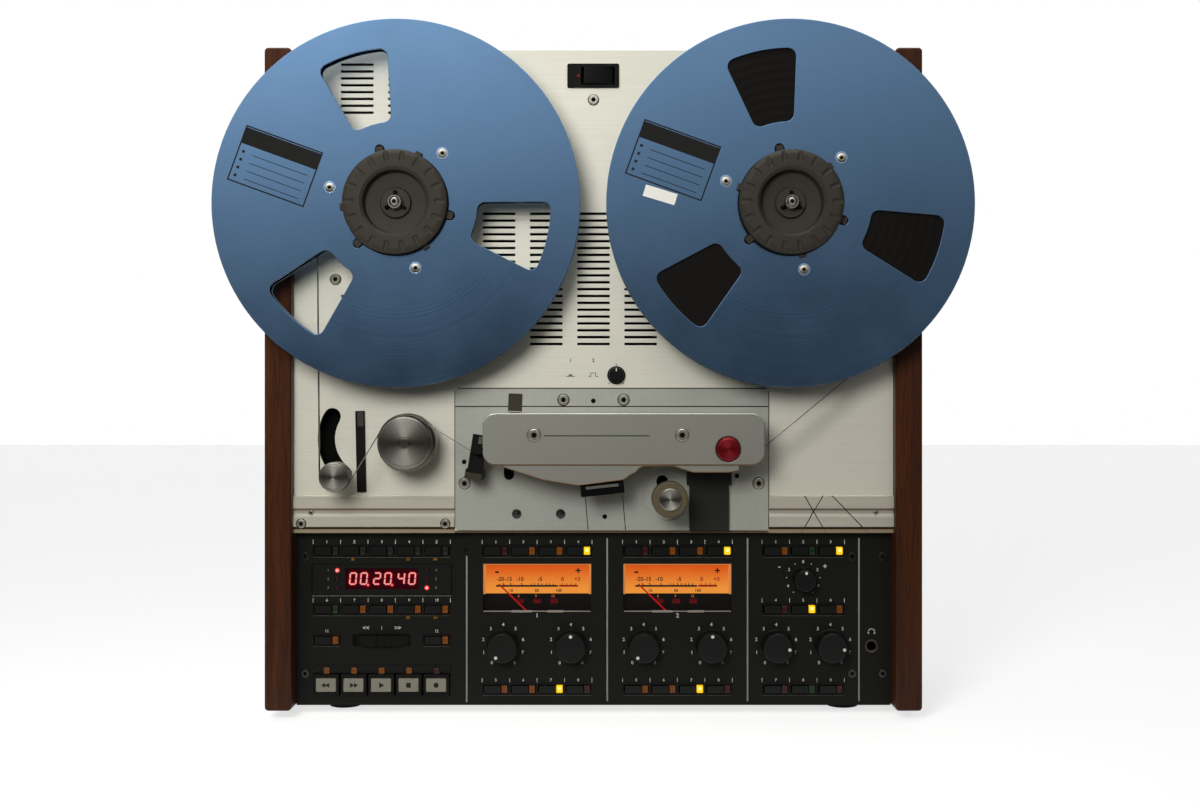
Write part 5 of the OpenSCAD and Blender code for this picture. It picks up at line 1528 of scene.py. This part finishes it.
class TAPEDECK_OT_panel_print(bpy.types.Operator):
    """Ticks, plain numbers and signs printed on the control panel"""

    bl_idname = "tapedeck.panel_print"
    bl_label = "Panel print"

    def execute(self, context):
        words, ticks = [], []
        for node in KEY_NODES:
            number = 0
            for height, middles in key_rows(node):
                for x in middles:
                    number += 1
                    words.append((str(number), x, height + PANEL_TICK, 3.0))
                if len(middles) > 2:
                    edges = [middles[0] - KEY_PITCH / 2] + [x + KEY_PITCH / 2 for x in middles]
                    ticks += [(x, height + PANEL_TICK, 0.45, 3.2) for x in edges]
        x, z = axis_of("shuttle_turn")
        words += [("<<", x - 12, z + 9.1, 4.4), (">>", x + 12.2, z + 9.1, 4.4)]
        ticks.append((x, z + 9.1, 0.4, 2.8))
        words += [(str(k), axis_of(f"needle_{k}_swing")[0], 76.3, 4.6) for k in (1, 2)]
        locator = key_rows("locator_keys")
        amber = [(str((row + 2) * 10 + key), locator[row][1][key] - 1, locator[row][0] - 6.4, 2.8)
                 for row, key in ((0, 1), (0, 3), (0, 4), (1, 3), (1, 4))]
        written("panel_legends", "cabinet", "white_print", PANEL_D, words, ticks)
        written("panel_legends_amber", "cabinet", "amber_print", PANEL_D, amber)
        # a thin black disc on the panel: painted shade standing for the trimmer's hole
        with piece("trimmer_hole", "cabinet", "black_plastic", "matt_black"):
            add_turned(TRIMMER_X, TRIMMER_Z, [(0, 0), (1.3, 0), (1.2, 0.05), (0, 0.05)], 18, base=PANEL_D)
        return DONE


# Degrees from number to number, and the radii of the dots and numbers
KNOB_STEP = 36.75
KNOB_DOT_R, KNOB_NUMBERS_R = 8.6, 15.7
DEVIATION_STEP = 28.9
DEVIATION_DOT_R, DEVIATION_NUMBERS_R = 5.6, 12.7
# Joint and setting of each level knob
KNOBS = {"mic_knob_1": ("mic_1_turn", 0), "line_knob_1": ("line_1_turn", 4), "mic_knob_2": ("mic_2_turn", 0),
         "line_knob_2": ("line_2_turn", 4), "repro_knob_1": ("repro_1_turn", 6.66),
         "repro_knob_2": ("repro_2_turn", 6.66)}


class TAPEDECK_OT_knobs(bpy.types.Operator):
    """Level knobs with white dots, their scales and the small deviation knob"""

    bl_idname = "tapedeck.knobs"
    bl_label = "Knobs"

    def execute(self, context):
        words, dots = [], []
        for node, (joint, setting) in KNOBS.items():
            x, z = axis_of(joint)
            self.add_knob(node, *around(x, z, KNOB_DOT_R, 90 + KNOB_STEP * (4 - setting)), sizes().dot_r / MM)
            words += [(str(number), *around(x, z, KNOB_NUMBERS_R, 90 + KNOB_STEP * (4 - number)), 3.5)
                      for number in range(9)]
        x, z = axis_of("deviation_turn")
        self.add_knob("deviation_knob", *around(x, z, DEVIATION_DOT_R, 84), 1.1)
        for k in range(-5, 6):
            spot = around(x, z, DEVIATION_NUMBERS_R, 90 - DEVIATION_STEP * k)
            if k % 2 == 0:
                words.append((str(abs(k)), *spot, 3.2))
            else:
                dots.append((*spot, 0.75, 0.75))
        words += [("-", x - 18, z + 9.2, 6), ("+", x + 16.5, z + 9.2, 5.5)]
        written("knob_scales", "cabinet", "white_print", PANEL_D, words, dots)
        return DONE

    def add_knob(self, node, x, z, r):
        """A knob, with its white dot at that place."""
        eased(node, sizes().knob_edge / MM, "knob_plastic", 3)
        with piece(f"{node}_dot", BODY_OF[node], "cap_grey", "dot_white"):
            add_turned(x, z, [(0, 0), (r, 0), (r - 0.15, 0.12), (0, 0.16)], 24, base=front_of(node))


# Signs of the transport keys: offset, corners, radius, turn clockwise from the front
SIGNS = {"rewind_key": ((-1.5, 3, 2.1, -90), (1.5, 3, 2.1, -90)),
         "forward_key": ((-1.5, 3, 2.1, 90), (1.5, 3, 2.1, 90)),
         "play_key": ((0, 3, 2.5, 90),), "stop_key": ((0, 4, 2.5, 45),), "record_key": ((0, 28, 1.9, 0),)}
CAP_T = 1.1


class TAPEDECK_OT_keys(bpy.types.Operator):
    """Small keys, transport keys with their signs, and the shuttle wheel"""

    bl_idname = "tapedeck.keys"
    bl_label = "Keys"

    def execute(self, context):
        edge = sizes().key_edge / MM
        for node in KEY_NODES:
            eased(node, edge, "knob_plastic")
        for node, shapes in SIGNS.items():
            key = eased(node, edge, "black_plastic")
            front = front_of(node)
            paint_faces(key, "cap_grey", lambda middle, normal: depth_of(middle.y) > front - CAP_T)
            x, z = middle_of(*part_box(node))
            with piece(f"{node}_sign", node, "black_plastic", "black_print"):
                for dx, corners, radius, turn in shapes:
                    bpy.ops.mesh.primitive_circle_add(
                        vertices=corners, radius=radius * MM, fill_type="NGON",
                        location=place(x + dx, front, z), rotation=(math.pi / 2, math.radians(turn), 0))
                    rise = {"value": (0, -sizes().print_t, 0)}
                    bpy.ops.mesh.extrude_region_move(TRANSFORM_OT_translate=rise)
        eased("shuttle_wheel", 0.5, "black_plastic")
        return DONE


# Kinds of the lamps, row by row from the top, and their names
LAMP_ROWS = ("DDDDDRAALRAALAGL", "GAAAARLA", "AA", "AAAAR", "AALRAALRRGR")
LAMP_NAMES = {"D": "dark", "A": "amber", "R": "red", "G": "green", "L": "lit"}
LAMP_CORE = [(0, 0), (1.5, 0), (1.2, 0.12), (0, 0.15)]


class TAPEDECK_OT_lamps(bpy.types.Operator):
    """Key lamps: dark, amber, red and green ones, and those that are lit"""

    bl_idname = "tapedeck.lamps"
    bl_label = "Lamps"

    def execute(self, context):
        lamps = {kind: [] for kind in LAMP_NAMES}
        for kinds, (_, row) in zip(LAMP_ROWS, rows(islands("key_lamps"))):
            for kind, box in zip(kinds, row):
                lamps[kind].append(box)
        for kind, name in LAMP_NAMES.items():
            with piece(f"{name}_lamps", "cabinet", "lamp_amber", f"{name}_lamp", ("key_lamps",)) as made:
                for box in lamps[kind]:
                    boxed(*box, 0.45, 3)
                dish_fronts(made, 0.55 * MM, 0.3 * MM)
        with piece("lit_lamp_cores", "cabinet", "lamp_amber", "lamp_core"):
            for low, high in lamps["L"]:
                x, z = middle_of(low, high)
                add_turned(x, z + 0.6, LAMP_CORE, 20, base=depth_of(low.y) - 0.32)
        return DONE


# Tape counter

READING = "002040"
SEGMENTS = {"0": "abcdef", "2": "abdeg", "4": "bcfg"}
DIGIT_PAIR = 18.3
DIGIT_HALF_W = 2.3
DIGIT_LEAN = 5
# Layers of the lit digits: name, finish, width of a bar, rise
DIGIT_LAYERS = (("counter_halo", "counter_halo", 2.7, 0.0), ("counter_glow", "counter_glow", 1.75, 0.06),
                ("counter_digits", "counter_digit", 0.85, 0.12))
LED_PLACES = [(dx, dz) for dx in (-33.6, 34.2) for dz in (6.5, -0.1, -6.7)]
LED = [(0, 0), (1.75, 0), (1.75, 0.5), (1.3, 1.1), (0, 1.4)]
LED_CORE = [(0, 1.2), (0.9, 1.2), (0.7, 1.42), (0, 1.5)]


class TAPEDECK_OT_counter(bpy.types.Operator):
    """Tape counter: frame, smoked window, lit digits and lamps"""

    bl_idname = "tapedeck.counter"
    bl_label = "Counter"

    def execute(self, context):
        low, high = min(islands("panel_windows"), key=lambda box: box[0].x)
        x, z = middle_of(low, high)
        back = depth_of(high.y)
        with piece("counter_window", "cabinet", "clear_window", "smoked_window", ("panel_windows",)):
            boxed(low, high, 0.3)
        with piece("counter_board", "cabinet", "black_plastic", "counter_back"):
            block((high.x - low.x) / MM + 4, 1.4, (high.z - low.z) / MM + 4, x, back - 1.5, z, 0.3)
        self.add_digits(x, z, back - 0.8)
        with piece("counter_frame", "cabinet", "panel_black", "gloss_black"):
            surround(x - 52.8, x + 52.8, z - 12.2, z + 11.4, 0.7, 0.5)
        with piece("counter_line", "cabinet", "panel_black", "dim_print"):
            flat_mark(PANEL_D, x, z - 12.85, 105.6, 0.5)
        self.add_leds(x, z)
        return DONE

    def add_leds(self, x, z):
        lit = (LED_PLACES[0], LED_PLACES[-1])
        dark = [spot for spot in LED_PLACES if spot not in lit]
        for name, finish_name, spots, outline, count in (("leds_lit", "led_lit", lit, LED, 24),
                                                         ("led_cores", "led_core", lit, LED_CORE, 20),
                                                         ("leds_dark", "led_dark", dark, LED, 24)):
            with piece(f"counter_{name}", "cabinet", "cue_red", finish_name):
                for dx, dz in spots:
                    add_turned(x + dx, z + dz, outline, count, base=PANEL_D)
        words = [(str(k), x + dx + math.copysign(7, dx), z + dz, 2.8)
                 for k, (dx, dz) in enumerate(LED_PLACES, 1)]
        written("counter_numbers", "cabinet", "dim_print", PANEL_D, words)

    def add_digits(self, x, z, depth):
        height = sizes().digit_h / MM
        for name, finish_name, bar, lift in DIGIT_LAYERS:
            with piece(name, "cabinet", "cue_red", finish_name):
                for k, digit in enumerate(READING):
                    digit_x = x + DIGIT_PAIR * (k // 2 - 1) + (4.1 if k % 2 else -4.1) + 0.3
                    self.digit(digit, digit_x, z, depth + lift, height, bar)
                    if k in (1, 3):
                        point = [(0, 0), (bar * 0.7, 0), (bar * 0.7, 0.1), (0, 0.12)]
                        add_turned(digit_x + 3.1, z - height / 2 - 0.2, point, 16, base=depth + lift)

    def digit(self, digit, x, z, depth, height, bar):
        half_w, half_h = DIGIT_HALF_W, height / 2 - 0.5
        slant = math.tan(math.radians(DIGIT_LEAN))
        spots = {"a": (0, half_h), "g": (0, 0), "d": (0, -half_h), "f": (-half_w, half_h / 2),
                 "b": (half_w, half_h / 2), "e": (-half_w, -half_h / 2), "c": (half_w, -half_h / 2)}
        for segment in SEGMENTS[digit]:
            dx, dz = spots[segment]
            width, tall, lean = (bar, half_h - 0.5, DIGIT_LEAN) if dx else (2 * half_w - 0.7, bar, 0)
            block(width, 0.1, tall, x + dx + dz * slant, depth + 0.05, z + dz, 0.04, lean, 1)


# Meters

DIAL_D = -20.0
MASK_D = -18.6
# Signs, bars and ticks of a dial, from the window's middle
BLACK_NUMBERS = (("-20", -28.4, 5.4, 4.3), ("-15", -22.3, 5.4, 4.3), ("-10", -13.5, 5.4, 4.3),
                 ("-5", 1.8, 5.4, 4.3), ("-", -31, 11.6, 10), ("+", 31, 11.6, 8),
                 ("10", -20.4, -3.3, 3.2), ("50", -0.6, -3.3, 3.2), ("100", 16.1, -3.3, 3.2))
BLACK_TICKS = ((-26, -34, 2.4), (-20.5, -28, 2.4), (-12, -20, 2.4), (-5, -12, 1.4), (-2.5, -8, 1.4),
               (0.6, -4, 2.4), (3.4, 0, 1.4), (6.5, 6, 1.4), (9, 10, 1.4), (12, 14, 1.4))
RED_NUMBERS = (("0", 19, 5.4, 4.3), ("+3", 30.4, 5.4, 4.3))
RED_TICKS = ((18.6, 18), (22, 22), (25.4, 26), (29, 30))
PEAK_NUMBERS = (("6", -14.4, -7.3, 2.8), ("9", -1.2, -7.3, 2.8), ("12", 11.8, -7.3, 2.8))
PEAK_LAMPS = (-13.3, -0.4, 12.6)


class TAPEDECK_OT_meters(bpy.types.Operator):
    """Level meters with lit dials, scales, needles and clear windows"""

    bl_idname = "tapedeck.meters"
    bl_label = "Level meters"

    def execute(self, context):
        windows = sorted(islands("panel_windows"), key=lambda box: box[0].x)[1:]
        low, high = windows[0]
        lit_dial("meter_orange", high.z, (high.z + low.z) / 2 - 5.4 * MM)
        case = eased("vu_meters", 0.15, "meter_mask", 1)
        dial_y = place(0, DIAL_D, 0).y
        paint_faces(case, "meter_orange",
                    lambda middle, normal: abs(middle.y - dial_y) < 0.3 * MM and normal.y < -0.9)
        for k, window in enumerate(windows):
            self.add_meter(k + 1, *window)
        return DONE

    def add_meter(self, number, low, high):
        x, z = middle_of(low, high)
        half = (high.x - low.x) / 2 / MM
        name = f"meter_{number}"

        def signs(table):
            return [(text, x + dx, z + dz, size) for text, dx, dz, size in table]

        eased(f"vu_needle_{number}", 0.1, "needle_red", 1)
        # walls of the light box, glowing with painted light of the meter's lamp
        with piece(f"{name}_walls", "cabinet", "meter_orange", "meter_side"):
            for side in (-1, 1):
                block(2.2, 5.5, 23.4, x + side * (half - 0.6), DIAL_D + 2.9, z + 6.4, 0.3)
            block(2 * half, 5.5, 1.8, x, DIAL_D + 2.9, high.z / MM - 0.4, 0.3)
        bars = [(x - 8.1, z + 0.3, 47.2, 1.4)]
        bars += [(x + dx, z + 1.6, 0.6, tall, lean) for dx, lean, tall in BLACK_TICKS]
        written(f"{name}_scale", "cabinet", "black_print", DIAL_D,
                signs(BLACK_NUMBERS), bars)
        bars = [(x + 23.6, z + 0.4, 14.3, 1.4)]
        bars += [(x + dx, z + 1.5, 0.5, 2.0, lean) for dx, lean in RED_TICKS]
        written(f"{name}_red_scale", "cabinet", "scale_red", DIAL_D, signs(RED_NUMBERS), bars)
        written(f"{name}_peaks", "cabinet", "peak_amber", MASK_D, signs(PEAK_NUMBERS))
        with piece(f"{name}_peak_lamps", "cabinet", "cue_red", "meter_red"):
            for dx in PEAK_LAMPS:
                block(5.7, 0.3, 3.3, x + dx, MASK_D + 0.1, z - 11.1, 0.1)
        with piece(f"{name}_window", "cabinet", "clear_window", None, ("panel_windows",)):
            boxed(low, high, 0.5, 3)
        front = depth_of(low.y)
        with piece(f"{name}_lip", "cabinet", "clear_window", "lens_lip"):
            block(2 * half - 1, 0.5, 0.8, x, front - 0.1, z - 17.6, 0.2)
            for dx, width in ((-11.5, 15.7), (13.8, 12.3)):
                block(width, 0.5, 1.7, x + dx, front - 0.05, z - 17.7, 0.2)


PHONES_RING = [(3.3, -0.4), (5.0, -0.02), (4.9, 0.45), (3.9, 0.6), (3.3, 0.2)]


class TAPEDECK_OT_phones(bpy.types.Operator):
    """Headphone jack with its rim and a plain sign"""

    bl_idname = "tapedeck.phones"
    bl_label = "Headphone jack"

    def execute(self, context):
        eased("phones_jack", 0.25, "matt_black")
        x, z = middle_of(*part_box("phones_jack"))
        with piece("phones_ring", "cabinet", "zinc_steel", "dark_steel"):
            add_turned(x, z, PHONES_RING, 40, True, PANEL_D)
        bars = [(*around(x, z + 10.6, 2.4, 22.5 * k), 0.5, 1.0, 90 - 22.5 * k) for k in range(9)]
        bars += [(x + dx, z + 10, 1.0, 1.7) for dx in (-2.3, 2.3)]
        written("phones_sign", "cabinet", "white_print", PANEL_D, bars=bars)
        return DONE


class TAPEDECK_PT_sidebar(bpy.types.Panel):
    """Lists the pieces and the values behind them"""

    bl_idname = "TAPEDECK_PT_sidebar"
    bl_label = "Tape recorder"
    bl_space_type = "VIEW_3D"
    bl_region_type = "UI"
    bl_category = "Tape recorder"

    def draw(self, context):
        for operator in OPERATORS:
            self.layout.operator(operator.bl_idname)
        for group in (context.scene.tape_colours, context.scene.tape_sizes, context.scene.tape_stage):
            box = self.layout.box()
            for name in group.bl_rna.properties.keys():
                if name not in ("rna_type", "name"):
                    box.prop(group, name)


GROUPS = {"tape_colours": TapeColours, "tape_sizes": TapeSizes, "tape_stage": TapeStage}
OPERATORS = (TAPEDECK_OT_stage, TAPEDECK_OT_cabinet, TAPEDECK_OT_inside, TAPEDECK_OT_rear, TAPEDECK_OT_deck,
             TAPEDECK_OT_screws, TAPEDECK_OT_reels, TAPEDECK_OT_reel_labels, TAPEDECK_OT_adapters,
             TAPEDECK_OT_tape, TAPEDECK_OT_rollers, TAPEDECK_OT_head_block, TAPEDECK_OT_panel,
             TAPEDECK_OT_panel_print, TAPEDECK_OT_knobs, TAPEDECK_OT_keys, TAPEDECK_OT_lamps,
             TAPEDECK_OT_counter, TAPEDECK_OT_meters, TAPEDECK_OT_phones)
CLASSES = tuple(GROUPS.values()) + OPERATORS + (TAPEDECK_PT_sidebar,)


def register():
    for cls in CLASSES:
        bpy.utils.register_class(cls)
    for name, group in GROUPS.items():
        setattr(bpy.types.Scene, name, bpy.props.PointerProperty(type=group))


def unregister():
    for name in GROUPS:
        delattr(bpy.types.Scene, name)
    for cls in reversed(CLASSES):
        bpy.utils.unregister_class(cls)


def main():
    register()
    build_groups()
    build_finishes()
    for operator in OPERATORS:
        category, name = operator.bl_idname.split(".")
        getattr(getattr(bpy.ops, category), name)()


if __name__ == "__main__":
    main()
